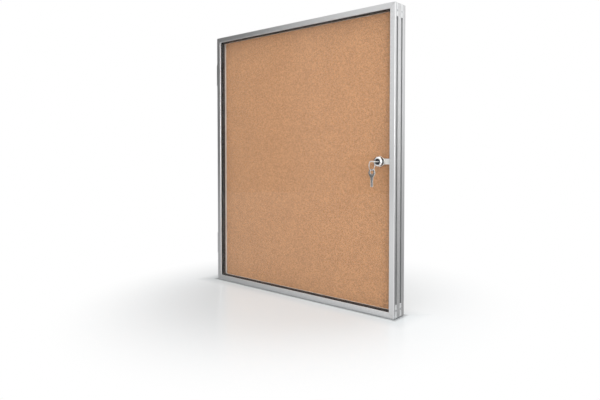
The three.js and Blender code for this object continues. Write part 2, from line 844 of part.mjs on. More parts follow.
// The key in the lock, the ring through its bow and the spare key that hangs from the ring.
function addKeys(keyGroup, ringGroup, spareGroup) {
  const key = flatKey();
  const inLock = addPiece(keyGroup, 'key_in_lock', key, materials.nickel);
  inLock.position.y = bowEndDepth;
  const ring = new THREE.TorusGeometry(ringRadius, ringWire, wireSegments, ringSegments);
  ring.rotateY(Math.PI / 2);
  const ringMesh = addPiece(ringGroup, 'key_ring', solidOf(ring), materials.steel);
  ringMesh.position.set(0, ringDepth, -ringDrop);
  const spare = addPiece(spareGroup, 'spare_key', key, materials.nickel);
  spare.position.set(0, ringDepth, spareTop);
  spare.rotation.x = -Math.PI / 2;
}

// Assembly: the case carries the door, the door the lock, and the lock its key, ring and spare key.
const board = new THREE.Group();
const caseGroup = new THREE.Group();
const doorGroup = new THREE.Group();
const lockGroup = new THREE.Group();
const fixedLockGroup = new THREE.Group();
const keyGroup = new THREE.Group();
const ringGroup = new THREE.Group();
const spareGroup = new THREE.Group();
board.add(caseGroup, doorGroup);
doorGroup.add(fixedLockGroup, lockGroup);
lockGroup.add(keyGroup);
keyGroup.add(ringGroup);
ringGroup.add(spareGroup);
for (const group of [fixedLockGroup, lockGroup]) group.position.set(lockX, frontY, lockZ);

const hangerPlaces = [hangerInset - boardWidth / 2, boardWidth / 2 - hangerInset];
const doorFrame = {
  name: 'door',
  section: doorSection(),
  depth: doorDepth,
  grooveStart: doorGrooveStart,
  frontY,
  rearCuts: {},
};
const caseFrame = {
  name: 'case',
  section: caseSection(),
  depth: caseDepth,
  grooveStart: caseGrooveStart,
  frontY: caseFrontY,
  rearCuts: { top: hangerPlaces.map(keyholeCut), bottom: hangerPlaces.map(fixingHoleCut) },
};

addProfiles(caseGroup, caseFrame);
addCorners(caseGroup, caseFrame);
addPanel(caseGroup);
addProfiles(doorGroup, doorFrame);
addCorners(doorGroup, doorFrame);
addGlazing(doorGroup);
addHinges(doorGroup, caseGroup);
addLock(fixedLockGroup, lockGroup);
addKeys(keyGroup, ringGroup, spareGroup);

export default board;
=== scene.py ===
"""Lockable notice board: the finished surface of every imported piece, on a pale studio floor."""
import math

import bmesh
import bpy
from bpy.props import FloatProperty, FloatVectorProperty, PointerProperty
from mathutils import Matrix, Vector


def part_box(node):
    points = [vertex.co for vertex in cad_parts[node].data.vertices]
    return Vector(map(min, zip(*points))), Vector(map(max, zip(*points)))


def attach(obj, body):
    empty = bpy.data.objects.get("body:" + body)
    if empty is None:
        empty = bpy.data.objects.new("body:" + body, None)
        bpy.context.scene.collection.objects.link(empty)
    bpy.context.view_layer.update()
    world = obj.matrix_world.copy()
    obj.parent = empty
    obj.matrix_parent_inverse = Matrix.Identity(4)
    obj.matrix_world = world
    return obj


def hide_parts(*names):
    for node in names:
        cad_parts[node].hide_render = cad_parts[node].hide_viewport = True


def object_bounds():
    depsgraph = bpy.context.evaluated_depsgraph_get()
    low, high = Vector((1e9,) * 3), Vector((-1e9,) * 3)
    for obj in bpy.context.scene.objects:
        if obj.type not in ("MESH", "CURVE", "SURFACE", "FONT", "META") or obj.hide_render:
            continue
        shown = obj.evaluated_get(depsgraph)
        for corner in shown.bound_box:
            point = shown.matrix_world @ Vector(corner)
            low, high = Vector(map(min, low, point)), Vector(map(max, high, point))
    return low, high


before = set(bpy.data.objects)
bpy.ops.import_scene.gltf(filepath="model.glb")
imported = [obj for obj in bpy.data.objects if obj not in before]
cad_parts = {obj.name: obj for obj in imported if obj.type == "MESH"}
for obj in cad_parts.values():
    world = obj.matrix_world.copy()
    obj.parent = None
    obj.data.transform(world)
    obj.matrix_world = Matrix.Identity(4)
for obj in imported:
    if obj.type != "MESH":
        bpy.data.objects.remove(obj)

bl_info = {
    "name": "Lockable notice board",
    "version": (1, 0, 0),
    "blender": (4, 5, 0),
    "location": "3D View > Sidebar > Notice board",
    "description": "Makes the bars, corners, cork, glazing, hinges, lock and keys of a lockable notice board",
    "category": "Object",
}

CAD_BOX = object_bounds()

SIDES = ("top", "right", "bottom", "left")
CORNERS = ("top_right", "bottom_right", "bottom_left", "top_left")
HEIGHTS = ("upper", "lower")
QUARTER = math.pi / 2
FULL_TURN = 2 * math.pi

# Lengths are in metres.
WELD = 1e-6
SOFT_EDGE = 0.0002
SMALL_ROUND = 0.001
SMALL_ROUND_STEPS = 3
ROUND_STEPS = 7
SMOOTH_ANGLE = math.radians(38)
FLAT_ANGLE = math.radians(0.5)


def cad_size(packed, axis):
    """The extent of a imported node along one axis."""
    low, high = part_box(packed)
    return high[axis] - low[axis]


def cad_middle(packed):
    """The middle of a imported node's box."""
    low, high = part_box(packed)
    return (low + high) / 2


# Settings


def length(name, description, default):
    """A property that holds a length."""
    return FloatProperty(name=name, description=description, default=default, precision=5, unit="LENGTH")


def degrees(name, description, default):
    """A property that holds an angle, with its default in degrees."""
    return FloatProperty(name=name, description=description, default=math.radians(default), subtype="ANGLE")


def ratio(name, description, default):
    """A property that holds a plain number."""
    return FloatProperty(name=name, description=description, default=default, precision=3)


def colour(name, description, default):
    """A property that holds a colour."""
    return FloatVectorProperty(name=name, description=description, default=default, subtype="COLOR", size=3)


class BarSizes(bpy.types.PropertyGroup):
    """Sizes of the extruded bars of both frames."""

    width: length("Width", "Width of the board", 2 * CAD_BOX[1].x)
    height: length("Height", "Height of the board", CAD_BOX[1].z)
    door_depth: length("Door depth", "Depth of the door's bars", cad_size("door_profile_top", 1))
    case_depth: length("Case depth", "Depth of the case's bars", cad_size("case_profile_top", 1))
    corner_radius: length("Corner radius", "Rounding of the board's outer corners", 0.003)
    mitre_gap: length("Mitre gap", "Gap between a bar's end and the mitre plane", 0.00008)
    mitre_chamfer: length("Mitre chamfer", "Chamfer of the front edge at a bar's ends", 0.0003)
    wall: length("Wall", "Wall of the bars", 0.0016)
    groove_width: length("Groove width", "Width of the outer grooves", 0.0065)
    groove_depth: length("Groove depth", "Depth of the outer grooves", 0.005)
    lip: length("Lip", "Width of the door's front face", 0.0134)
    lip_return: length("Lip return", "Depth of the door's lip down to the glass", 0.0038)
    door_groove: length("Door groove", "Distance from the door's front to its groove", 0.0062)
    door_rear: length("Door rear flange", "Width of the door's rear flange", 0.0142)
    door_rear_return: length("Door rear return", "Depth of the rear flange's return", 0.002)
    case_front: length("Case front flange", "Width of the case's front flange", 0.0142)
    case_front_return: length("Case front return", "Depth of the front flange's return", 0.0056)
    case_web: length("Case web", "Width of the web behind the panel", 0.015)
    case_groove: length("Case groove", "Distance from the case's front to its groove", 0.0064)
    case_rear: length("Case rear flange", "Width of the flange against the wall", 0.0136)
    bevel_depth: length("Rear bevel depth", "Depth of the case's rear bevel", 0.0055)
    bevel_inset: length("Rear bevel inset", "Inset of the case's rear bevel", 0.0012)
    front_arris: length("Front arris", "Rounding of the door's outer front edge", 0.0015)
    lip_chamfer: length("Lip chamfer", "Chamfer of the door's inner front edge", 0.0007)
    arris: length("Arris", "Rounding of the other edges", 0.0003)
    seal_lead: length("Seal lead", "Bevel of the gasket's front outer edge", 0.001)
    seal_flap: length("Seal flap", "How far the gasket covers the edge of the rear flange", 0.0004)


class FittingSizes(bpy.types.PropertyGroup):
    """Sizes of the connectors, the screws and the holes for hanging."""

    leg: length("Leg", "Length of a corner connector's legs", 0.031)
    fit: length("Fit", "Clearance of a fitting in its seat", 0.0003)
    screw_inset: length("Screw inset", "Distance of a corner screw from the corner", 0.0185)
    screw_head: length("Screw head", "Radius of a corner screw's head", 0.0026)
    screw_shaft: length("Screw shaft", "Radius of a corner screw's shaft", 0.0015)
    screw_cone: length("Screw cone", "Depth of the screw's countersunk head", 0.0017)
    screw_length: length("Screw length", "Length of a corner screw", cad_size("case_screw_top_right_a", 2))
    recess_reach: length("Recess reach", "Half the width of the cross recess", 0.0015)
    recess_width: length("Recess width", "Width of a slot of the cross recess", 0.0006)
    recess_depth: length("Recess depth", "Depth of the cross recess", 0.0009)
    hanger_inset: length("Hanger inset", "Distance of the hanging holes from the sides", 0.090)
    keyhole: length("Keyhole", "Radius of the keyhole's round end", 0.0039)
    keyhole_drop: length("Keyhole drop", "Distance of the keyhole's round end from the top", 0.0089)
    slot: length("Slot", "Radius of the keyhole's slot and of the plain holes", 0.0023)
    slot_drop: length("Slot drop", "Distance of the slot's end from the top", 0.0047)
    hole_drop: length("Hole drop", "Distance of the plain holes from the bottom", 0.0075)


class LockSizes(bpy.types.PropertyGroup):
    """Sizes of the cam lock."""

    head: length("Head", "Radius of the domed head", cad_size("lock_housing", 0) / 2)
    face: length("Face", "Radius of the head's flat front", 0.00775)
    barrel: length("Barrel", "Radius of the barrel", 0.009)
    bore: length("Bore", "Radius of the barrel's bore", 0.0064)
    rim: length("Rim", "Straight edge behind the dome", 0.0005)
    depth: length("Depth", "Length of the barrel with its head", cad_size("lock_housing", 1))
    head_depth: length("Head depth", "Depth of the head", 0.0042)
    thread_pitch: length("Thread pitch", "Pitch of the barrel's thread", 0.001)
    thread_depth: length("Thread depth", "Depth of the barrel's thread", 0.00035)


class KeySizes(bpy.types.PropertyGroup):
    """Sizes of the two keys and the ring."""

    thickness: length("Thickness", "Thickness of a key", cad_size("key_in_lock", 2))
    bow_length: length("Bow length", "Length of a key's bow", 0.0185)
    bow_width: length("Bow width", "Width of a key's bow", cad_size("key_in_lock", 0))
    hole: length("Hole", "Radius of the hole in the bow", 0.0045)
    bar: length("Bar", "Material between the hole and the bow's end", 0.0024)
    blade_width: length("Blade width", "Width of the blade", 0.0066)
    neck: length("Neck", "Length of the blade that stays outside the lock", 0.005)
    insertion: length("Insertion", "Length of the blade inside the lock", 0.0165)
    tip: length("Tip", "Chamfer of the blade's tip", 0.0018)
    cut: length("Cut", "Depth of the deepest cut", 0.0011)
    chamfer: length("Chamfer", "Chamfer round a key's faces", 0.00025)
    ring: length("Ring", "Inner radius of the key ring", 0.011)
    wire: length("Wire", "Thickness of the key ring's wire", 0.0009)


class Finishes(bpy.types.PropertyGroup):
    """Colours of the materials."""

    aluminium: colour("Aluminium", "Silver anodised aluminium", (0.69, 0.695, 0.70))
    connector: colour("Connector", "Corner connectors", (0.84, 0.85, 0.855))
    steel: colour("Steel", "Zinc-plated steel", (0.62, 0.64, 0.65))
    plug: colour("Plug", "The lock's plug", (0.13, 0.13, 0.14))
    chrome: colour("Chrome", "Polished chrome", (0.89, 0.90, 0.91))
    satin: colour("Satin plating", "The lock's nut and cam", (0.97, 0.94, 0.92))
    cushion: colour("Cushion", "The washer in front of the glass", (0.42, 0.42, 0.43))
    nickel: colour("Nickel", "Nickel-plated keys", (0.86, 0.85, 0.83))
    rubber: colour("Rubber", "Black gasket", (0.012, 0.012, 0.013))
    glass: colour("Glass", "Clear glass", (0.97, 0.985, 0.98))
    cork: colour("Cork", "Cork granules", (0.56, 0.288, 0.146))
    cork_dark: colour("Dark cork", "Dark specks in the cork", (0.30, 0.145, 0.075))
    fibreboard: colour("Fibreboard", "The board behind the cork", (0.25, 0.14, 0.062))


class StageSettings(bpy.types.PropertyGroup):
    """The floor, the lamps and the camera."""

    floor_size: length("Floor size", "Side of the square floor", 14.0)
    lamp_aim: length("Lamp aim", "Height of the point that the lamps look at", 0.35)
    camera_right: length("Camera to the right", "Distance of the camera to the right", 0.8928)
    camera_front: length("Camera in front", "Distance of the camera in front", 1.0401)
    camera_height: length("Camera height", "Height of the camera", 0.3716)
    camera_yaw: degrees("Camera yaw", "Turn of the camera to the left", 40.569)
    camera_pitch: degrees("Camera pitch", "Tilt of the camera downwards", 1.616)
    lens: FloatProperty(name="Lens", description="Focal length", default=31.777, subtype="DISTANCE_CAMERA")
    shift: ratio("Shift", "Vertical shift of the camera", -0.05516)


# Meshes


def linked(name, data):
    """A new object of a mesh, curve, lamp or camera, in the scene."""
    obj = bpy.data.objects.new(name, data)
    bpy.context.scene.collection.objects.link(obj)
    return obj


def applied(obj):
    """The mesh of an object with its modifiers or its curve worked out. The object itself goes."""
    mesh = bpy.data.meshes.new_from_object(obj.evaluated_get(bpy.context.evaluated_depsgraph_get()))
    bpy.data.objects.remove(obj)
    return mesh


def shaded(mesh):
    """A mesh with smooth rounds and sharp edges between its flat faces."""
    mesh.shade_smooth()
    mesh.set_sharp_from_angle(angle=SMOOTH_ANGLE)
    return mesh


def mesh_of(bm, name):
    """Closes a bmesh into a mesh."""
    bmesh.ops.recalc_face_normals(bm, faces=bm.faces)
    mesh = bpy.data.meshes.new(name)
    bm.to_mesh(mesh)
    bm.free()
    return shaded(mesh)


def finished(obj, body, slot, material, *nodes):
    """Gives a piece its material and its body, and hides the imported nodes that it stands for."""
    obj.data.materials.clear()
    obj.data.materials.append(material)
    normals = obj.modifiers.new("face normals", "WEIGHTED_NORMAL")
    normals.keep_sharp = True
    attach(obj, body)
    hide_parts(*nodes)


def kept(packed, material):
    """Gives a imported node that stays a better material."""
    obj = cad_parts[packed]
    obj.data.materials.clear()
    obj.data.materials.append(material)


def rounded(corners):
    """An outline of (x, y) points from corners (x, y, radius), with true arcs.

    Where a radius is too large for its sides, the arc takes just under half of the shorter one."""
    outline = []
    count = len(corners)
    under_half = 1 / 2.001
    for i, (x, y, radius) in enumerate(corners):
        corner = Vector((x, y))
        if radius <= 0:
            outline.append(corner)
            continue
        before = Vector(corners[i - 1][:2]) - corner
        after = Vector(corners[(i + 1) % count][:2]) - corner
        half = before.angle(after) / 2
        reach = min(radius / math.tan(half), before.length * under_half, after.length * under_half)
        start = corner + before.normalized() * reach
        end = corner + after.normalized() * reach
        weight = math.sin(half)
        steps = SMALL_ROUND_STEPS if radius < SMALL_ROUND else ROUND_STEPS
        for step in range(steps + 1):
            t = step / steps
            a, b, c = (1 - t) ** 2, 2 * t * (1 - t) * weight, t ** 2
            outline.append((start * a + corner * b + end * c) / (a + b + c))
    return outline


def bridged(bm, rings):
    """Faces between each ring of corners and the next."""
    count = len(rings[0])
    for ring, following in zip(rings, rings[1:]):
        for k in range(count):
            m = (k + 1) % count
            bm.faces.new((ring[k], ring[m], following[m], following[k]))


def bevelled(bm, radius):
    """Rounds the sharp edges of a closed bmesh."""
    rims = [e for e in bm.edges if e.calc_face_angle(0) > SMOOTH_ANGLE]
    bmesh.ops.bevel(bm, geom=rims, offset=radius, segments=2, profile=0.5, affect="EDGES", clamp_overlap=True)


def plate(outline, thickness, name, radius):
    """A flat outline in X and Z with thickness along Y, centred on Y = 0, with its rims rounded."""
    bm = bmesh.new()
    face = bm.faces.new([bm.verts.new((x, -thickness / 2, z)) for x, z in outline])
    moved = bmesh.ops.extrude_face_region(bm, geom=[face])["geom"]
    far_side = [v for v in moved if isinstance(v, bmesh.types.BMVert)]
    bmesh.ops.translate(bm, verts=far_side, vec=(0, thickness, 0))
    bevelled(bm, radius)
    return mesh_of(bm, name)


def turned(outline, steps, name):
    """A turned piece about the Y axis, from a closed outline of (radius, depth) points."""
    bm = bmesh.new()
    rings = []
    for step in range(steps):
        turn = FULL_TURN * step / steps
        rings.append([bm.verts.new((r * math.cos(turn), y, r * math.sin(turn))) for r, y in outline])
    bridged(bm, rings + rings[:1])
    bmesh.ops.remove_doubles(bm, verts=bm.verts, dist=WELD)
    return mesh_of(bm, name)


def block(low, high):
    """A box between two corners, as a cutter."""
    bm = bmesh.new()
    bmesh.ops.create_cube(bm, size=1)
    for v in bm.verts:
        v.co = Vector([a + (b - a) * (c + 0.5) for a, b, c in zip(low, high, v.co)])
    return mesh_of(bm, "cutter")


def carved(mesh, cutters):
    """A mesh with others cut from it."""
    obj = linked("carved", mesh)
    tools = [linked("cutter", cutter) for cutter in cutters]
    for tool in tools:
        cut = obj.modifiers.new("cut", "BOOLEAN")
        cut.operation = "DIFFERENCE"
        cut.solver = "EXACT"
        cut.object = tool
    result = applied(obj)
    result.name = mesh.name
    for tool in tools:
        bpy.data.objects.remove(tool)
    return shaded(result)


def softened(packed):
    """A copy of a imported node's shape with its edges rounded."""
    bm = bmesh.new()
    bm.from_mesh(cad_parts[packed].data)
    bmesh.ops.remove_doubles(bm, verts=bm.verts, dist=WELD)
    bmesh.ops.dissolve_limit(bm, angle_limit=FLAT_ANGLE, verts=bm.verts, edges=bm.edges)
    bevelled(bm, SOFT_EDGE)
    return mesh_of(bm, packed + "_shape")


def curve_mesh(name, lines, closed, **settings):
    """The mesh of a curve that runs straight from point to point of each line."""
    curve = bpy.data.curves.new(name, "CURVE")
    for key, value in settings.items():
        setattr(curve, key, value)
    for line in lines:
        spline = curve.splines.new("POLY")
        spline.points.add(len(line) - 1)
        for point, place in zip(spline.points, line):
            point.co = (*place, 1)
        spline.use_cyclic_u = closed
    bm = bmesh.new()
    bm.from_mesh(applied(linked("curve", curve)))
    bmesh.ops.remove_doubles(bm, verts=bm.verts, dist=WELD)
    return mesh_of(bm, name)


# Shader parts


SMOOTHSTEP = {"interpolation_type": "SMOOTHSTEP"}


def node(tree, kind, inputs=None, **settings):
    """A shader node with its settings, and with values or links for its inputs."""
    made = tree.nodes.new(kind)
    for key, value in settings.items():
        setattr(made, key, value)
    for key, value in (inputs or {}).items():
        if isinstance(value, bpy.types.NodeSocket):
            tree.links.new(value, made.inputs[key])
        else:
            made.inputs[key].default_value = value
    return made


def maths(tree, operation, *values, **settings):
    """The result of one sum, product or the like."""
    return node(tree, "ShaderNodeMath", dict(enumerate(values)), operation=operation, **settings).outputs[0]


def vector_maths(tree, operation, *values):
    """The outputs Vector and Value of one sum, product or the like of vectors."""
    return node(tree, "ShaderNodeVectorMath", dict(enumerate(values)), operation=operation).outputs


def axes(tree, vector):
    """The X, Y and Z of a vector."""
    return node(tree, "ShaderNodeSeparateXYZ", {0: vector}).outputs


def remap(tree, value, source=(0.0, 1.0), target=(0.0, 1.0), **settings):
    """A value carried from one range to another, and held at its ends."""
    return node(tree, "ShaderNodeMapRange",
                {"Value": value, "From Min": source[0], "From Max": source[1], "To Min": target[0],
                 "To Max": target[1]}, **settings).outputs["Result"]


def noise(tree, where, scale, detail, **inputs):
    """Soft noise between 0 and 1."""
    return node(tree, "ShaderNodeTexNoise",
                {"Vector": where, "Scale": scale, "Detail": detail, **inputs}).outputs["Fac"]


def bump(tree, height, strength, distance):
    """A normal that follows a height."""
    return node(tree, "ShaderNodeBump",
                {"Strength": strength, "Distance": distance, "Height": height}).outputs["Normal"]


def blend(tree, share, first, second, kind="MIX"):
    """A mix or product of two colours, each a socket or three numbers. A Mix node's colours are 6 and 7."""
    ends = [end if isinstance(end, bpy.types.NodeSocket) else (*end, 1.0) for end in (first, second)]
    return node(tree, "ShaderNodeMix", {0: share, 6: ends[0], 7: ends[1]}, data_type="RGBA",
                blend_type=kind).outputs[2]


def principled(tree, tone, roughness, normal=None, **inputs):
    """A Principled shader. Spaces in the names of its inputs are written as underscores."""
    values = {"Base Color": tone, "Roughness": roughness}
    if normal is not None:
        values["Normal"] = normal
    for key, value in inputs.items():
        values[key.replace("_", " ")] = value
    return node(tree, "ShaderNodeBsdfPrincipled", values)


def group_of(name, inputs, outputs, build):
    """A shader node group, whose outputs a function of its tree and its inputs builds on first use."""
    if name in bpy.data.node_groups:
        return bpy.data.node_groups[name]
    tree = bpy.data.node_groups.new(name, "ShaderNodeTree")
    for label, default in inputs.items():
        kind = "NodeSocketFloat" if isinstance(default, float) else "NodeSocketVector"
        socket = tree.interface.new_socket(name=label, in_out="INPUT", socket_type=kind)
        socket.default_value = default
    for label, kind in outputs.items():
        tree.interface.new_socket(name=label, in_out="OUTPUT", socket_type=kind)
    given = tree.nodes.new("NodeGroupInput")
    result = tree.nodes.new("NodeGroupOutput")
    for label, socket in build(tree, given.outputs).items():
        tree.links.new(socket, result.inputs[label])
    return tree


def material_of(name, build):
    """A material, whose shader a function of its tree and the piece's coordinates builds on first use."""
    if name in bpy.data.materials:
        return bpy.data.materials[name]
    material = bpy.data.materials.new(name)
    material.use_nodes = True
    tree = material.node_tree
    tree.nodes.clear()
    coordinates = tree.nodes.new("ShaderNodeTexCoord")
    shader = build(tree, coordinates.outputs)
    output = tree.nodes.new("ShaderNodeOutputMaterial")
    tree.links.new(shader.outputs[0], output.inputs["Surface"])
    return material


# Effects that several metals share


ANYWHERE = (0.0, 0.0, 0.0)
ALONG_X = (3.0, 900.0, 900.0)
ALONG_Z = (900.0, 900.0, 3.0)
ALONG_KEY = (900.0, 30.0, 900.0)
EVEN = (400.0, 400.0, 400.0)


def drawn_grain():
    """Fine parallel lines left by the die, with slow changes across them."""
    def build(tree, given):
        stretched = vector_maths(tree, "MULTIPLY", given["Vector"], given["Lines"])["Vector"]
        lines = noise(tree, stretched, scale=1.0, detail=3.0)
        clouds = noise(tree, given["Vector"], scale=9.0, detail=2.0)
        centred = maths(tree, "SUBTRACT", maths(tree, "ADD", lines, clouds), 1.0)
        return {"Roughness": maths(tree, "MULTIPLY_ADD", centred, given["Change"], given["Roughness"]),
                "Normal": bump(tree, lines, strength=given["Relief"], distance=0.0001),
                "Shade": remap(tree, clouds, (0.3, 0.7), (0.97, 1.0))}

    inputs = {"Vector": ANYWHERE, "Lines": ALONG_X, "Roughness": 0.3, "Change": 0.06, "Relief": 0.1}
    outputs = {"Roughness": "NodeSocketFloat", "Normal": "NodeSocketVector", "Shade": "NodeSocketFloat"}
    return group_of("drawn_grain", inputs, outputs, build)


def edge_wear():
    """A mask of rubbed edges, broken up by noise."""
    def build(tree, given):
        edges = remap(tree, tree.nodes.new("ShaderNodeNewGeometry").outputs["Pointiness"], (0.51, 0.58))
        broken = remap(tree, noise(tree, given["Vector"], scale=160.0, detail=4.0), (0.42, 0.62))
        return {"Mask": maths(tree, "MULTIPLY", maths(tree, "MULTIPLY", edges, broken), given["Amount"])}

    return group_of("edge_wear", {"Vector": ANYWHERE, "Amount": 0.5}, {"Mask": "NodeSocketFloat"}, build)


def dull_sides():
    """How metallic a side is: Least where its own normal's Z is From, and Most where it is To.

    With Both ways at 1 it makes no difference which way along Z the side faces."""
    def build(tree, given):
        along = axes(tree, given["Normal"])["Z"]
        either = maths(tree, "ABSOLUTE", along)
        facing = node(tree, "ShaderNodeMix", {0: given["Both ways"], 2: along, 3: either}).outputs[0]
        normals, levels = (given["From"], given["To"]), (given["Least"], given["Most"])
        return {"Metallic": remap(tree, facing, normals, levels)}

    inputs = {"Normal": ANYWHERE, "Both ways": 0.0, "From": -0.9, "To": -0.5, "Least": 0.3, "Most": 1.0}
    return group_of("dull_sides", inputs, {"Metallic": "NodeSocketFloat"}, build)


# Materials


def finishes():
    """The colours of the materials."""
    return bpy.context.scene.notice_board_finishes


def grey(level):
    """A plain grey."""
    return level, level, level


def painted_recess_shade(tree, coordinates, tone, share):
    """Painted shade: keeps only a share of a colour on the walls that face -Y and lie over 2 to 4 mm behind
    the piece's front.
    """
    wall = remap(tree, axes(tree, coordinates["Normal"])["Y"], (-0.9, -0.6), (1.0, 0.0))
    deep = remap(tree, axes(tree, coordinates["Object"])["Y"], (0.002, 0.004))
    level = remap(tree, maths(tree, "MULTIPLY", wall, deep), target=(1.0, share))
    return blend(tree, 1.0, tone, level, "MULTIPLY")


def metal(name, tint, worn, lines, roughness, change, relief, wear, metallic=1.0, dull=None, recess=None):
    """A metal with drawn or brushed grain and rubbed edges.

    dull holds inputs of the group dull_sides, and recess the share of colour that the painted shade deep
    inside keeps."""
    def build(tree, coordinates):
        where = coordinates["Object"]
        grain = node(tree, "ShaderNodeGroup",
                     {"Vector": where, "Lines": lines, "Roughness": roughness, "Change": change,
                      "Relief": relief}, node_tree=drawn_grain()).outputs
        rubbed = node(tree, "ShaderNodeGroup", {"Vector": where, "Amount": wear}, node_tree=edge_wear())
        tone = blend(tree, 1.0, tint, grain["Shade"], "MULTIPLY")
        tone = blend(tree, rubbed.outputs["Mask"], tone, worn)
        # Painted shade: the walls deep inside the bar keep only a share of the colour.
        if recess:
            tone = painted_recess_shade(tree, coordinates, tone, recess)
        shine = metallic
        if dull:
            shine = node(tree, "ShaderNodeGroup", {"Normal": coordinates["Normal"], "Most": metallic, **dull},
                         node_tree=dull_sides()).outputs["Metallic"]
        return principled(tree, tone, grain["Roughness"], grain["Normal"], Metallic=shine)

    return material_of(name, build)


def anodised_bar():
    """Anodised aluminium with die lines along X, duller towards the window, and with painted shade on the
    walls deep inside.
    """
    return metal("anodised_bar", finishes().aluminium, worn=grey(0.9), lines=ALONG_X, roughness=0.33,
                 change=0.05, relief=0.06, wear=0.25, metallic=0.95,
                 dull={"From": -0.9, "To": -0.5, "Least": 0.285}, recess=0.74)


def anodised_leaf():
    """Anodised aluminium with die lines along Z."""
    return metal("anodised_leaf", finishes().aluminium, worn=grey(0.9), lines=ALONG_Z, roughness=0.33,
                 change=0.05, relief=0.06, wear=0.35, metallic=0.95)


def connector_alloy():
    """Pale, finely blasted metal of the corner connectors."""
    return metal("connector_alloy", finishes().connector, worn=grey(0.95), lines=EVEN, roughness=0.5,
                 change=0.08, relief=0.12, wear=0.3, metallic=0.55)


def zinc_steel():
    """Zinc-plated steel of screws, pins and the ring."""
    return metal("zinc_steel", finishes().steel, worn=grey(0.8), lines=EVEN, roughness=0.28, change=0.1,
                 relief=0.05, wear=0.4)


def plug_face():
    """Dark face of the lock's plug."""
    return metal("dark_plug_face", finishes().plug, worn=grey(0.4), lines=EVEN, roughness=0.12, change=0.05,
                 relief=0.02, wear=0.1)


def chrome():
    """Polished chrome with faint handling marks."""
    return metal("polished_chrome", finishes().chrome, worn=grey(0.95), lines=EVEN, roughness=0.06,
                 change=0.04, relief=0.01, wear=0.1)


def satin():
    """Satin plating of the nut and the cam."""
    return metal("satin_plating", finishes().satin, worn=grey(0.95), lines=EVEN, roughness=0.5, change=0.08,
                 relief=0.05, wear=0.2, metallic=0.1)


def nickel():
    """Nickel-plated key metal with polished faces and matt rims."""
    return metal("nickel_key", finishes().nickel, worn=(0.85, 0.83, 0.8), lines=ALONG_KEY, roughness=0.12,
                 change=0.06, relief=0.03, wear=0.3,
                 dull={"Both ways": 1.0, "From": 0.0, "To": 0.9, "Least": 0.15})


def rubber(name, tint):
    """Dull rubber with a little dust."""
    def build(tree, coordinates):
        where = coordinates["Object"]
        dust = noise(tree, where, scale=35.0, detail=4.0)
        dusty = blend(tree, dust, tint, [c * 1.2 + 0.018 for c in tint])
        fine = noise(tree, where, scale=1400.0, detail=2.0)
        return principled(tree, dusty, remap(tree, dust, target=(0.5, 0.75)),
                          bump(tree, fine, strength=0.2, distance=0.0001), Specular_IOR_Level=0.35)

    return material_of(name, build)


def gasket_rubber():
    """Black rubber of the gasket and the rear washer."""
    return rubber("gasket_rubber", finishes().rubber)


def grey_cushion():
    """Grey rubber of the washer in front of the glass."""
    return rubber("grey_cushion", finishes().cushion)


def glass():
    """Clear float glass that lets the lamps reach the cork."""
    def build(tree, coordinates):
        tint = (*finishes().glass, 1.0)
        clouds = noise(tree, coordinates["Object"], scale=7.0, detail=3.0)
        smears = remap(tree, clouds, (0.35, 0.75), (0.0, 0.012))
        pane = principled(tree, tint, smears, IOR=1.5, Specular_Tint=(0.2, 0.2, 0.2, 1.0),
                          Transmission_Weight=1.0)
        clear = node(tree, "ShaderNodeBsdfTransparent", {"Color": tint})
        path = tree.nodes.new("ShaderNodeLightPath")
        return node(tree, "ShaderNodeMixShader",
                    {0: path.outputs["Is Shadow Ray"], 1: pane.outputs[0], 2: clear.outputs[0]})

    return material_of("float_glass", build)


def cork():
    """Fine pressed cork: small granules, each with its own shade, and sparse dark specks."""
    def build(tree, coordinates):
        where = coordinates["Object"]
        granules = node(tree, "ShaderNodeTexVoronoi", {"Vector": where, "Scale": 400.0}).outputs
        own = node(tree, "ShaderNodeSeparateColor", {"Color": granules["Color"]}).outputs[0]
        deep, pale = ([min(1.0, c * level) for c in finishes().cork] for level in (0.82, 1.16))
        shades = blend(tree, own, deep, pale)
        patches = noise(tree, where, scale=220.0, detail=4.0, Roughness=0.65)
        uneven = remap(tree, patches, (0.25, 0.75), (0.95, 1.03))
        slow = remap(tree, noise(tree, where, scale=14.0, detail=3.0), (0.3, 0.7), (0.97, 1.03))
        lit = blend(tree, 1.0, shades, maths(tree, "MULTIPLY", uneven, slow), "MULTIPLY")
        specks = node(tree, "ShaderNodeTexVoronoi", {"Vector": where, "Scale": 260.0}).outputs
        chosen = node(tree, "ShaderNodeSeparateColor", {"Color": specks["Color"]}).outputs[1]
        few = remap(tree, chosen, (0.86, 0.93), (0.0, 0.8))
        small = remap(tree, specks["Distance"], (0.25, 0.45), (1.0, 0.0))
        specked = blend(tree, maths(tree, "MULTIPLY", few, small), lit, finishes().cork_dark)
        height = maths(tree, "ADD", granules["Distance"], patches)
        return principled(tree, specked, 0.92, bump(tree, height, strength=0.35, distance=0.0004),
                          Specular_IOR_Level=0.2)

    return material_of("fine_cork", build)


def fibreboard():
    """Raw fibreboard with matted fibres."""
    def build(tree, coordinates):
        where = coordinates["Object"]
        fibres = noise(tree, where, scale=420.0, detail=6.0, Roughness=0.7, Distortion=1.5)
        both = maths(tree, "ADD", fibres, noise(tree, where, scale=12.0, detail=3.0))
        dark, light = ([min(1.0, c * level) for c in finishes().fibreboard] for level in (0.8, 1.3))
        tone = blend(tree, remap(tree, both, (0.6, 1.4)), dark, light)
        return principled(tree, tone, 0.85, bump(tree, fibres, strength=0.25, distance=0.0003),
                          Specular_IOR_Level=0.25)

    return material_of("raw_fibreboard", build)


# Bars


ARC_STEPS = 5


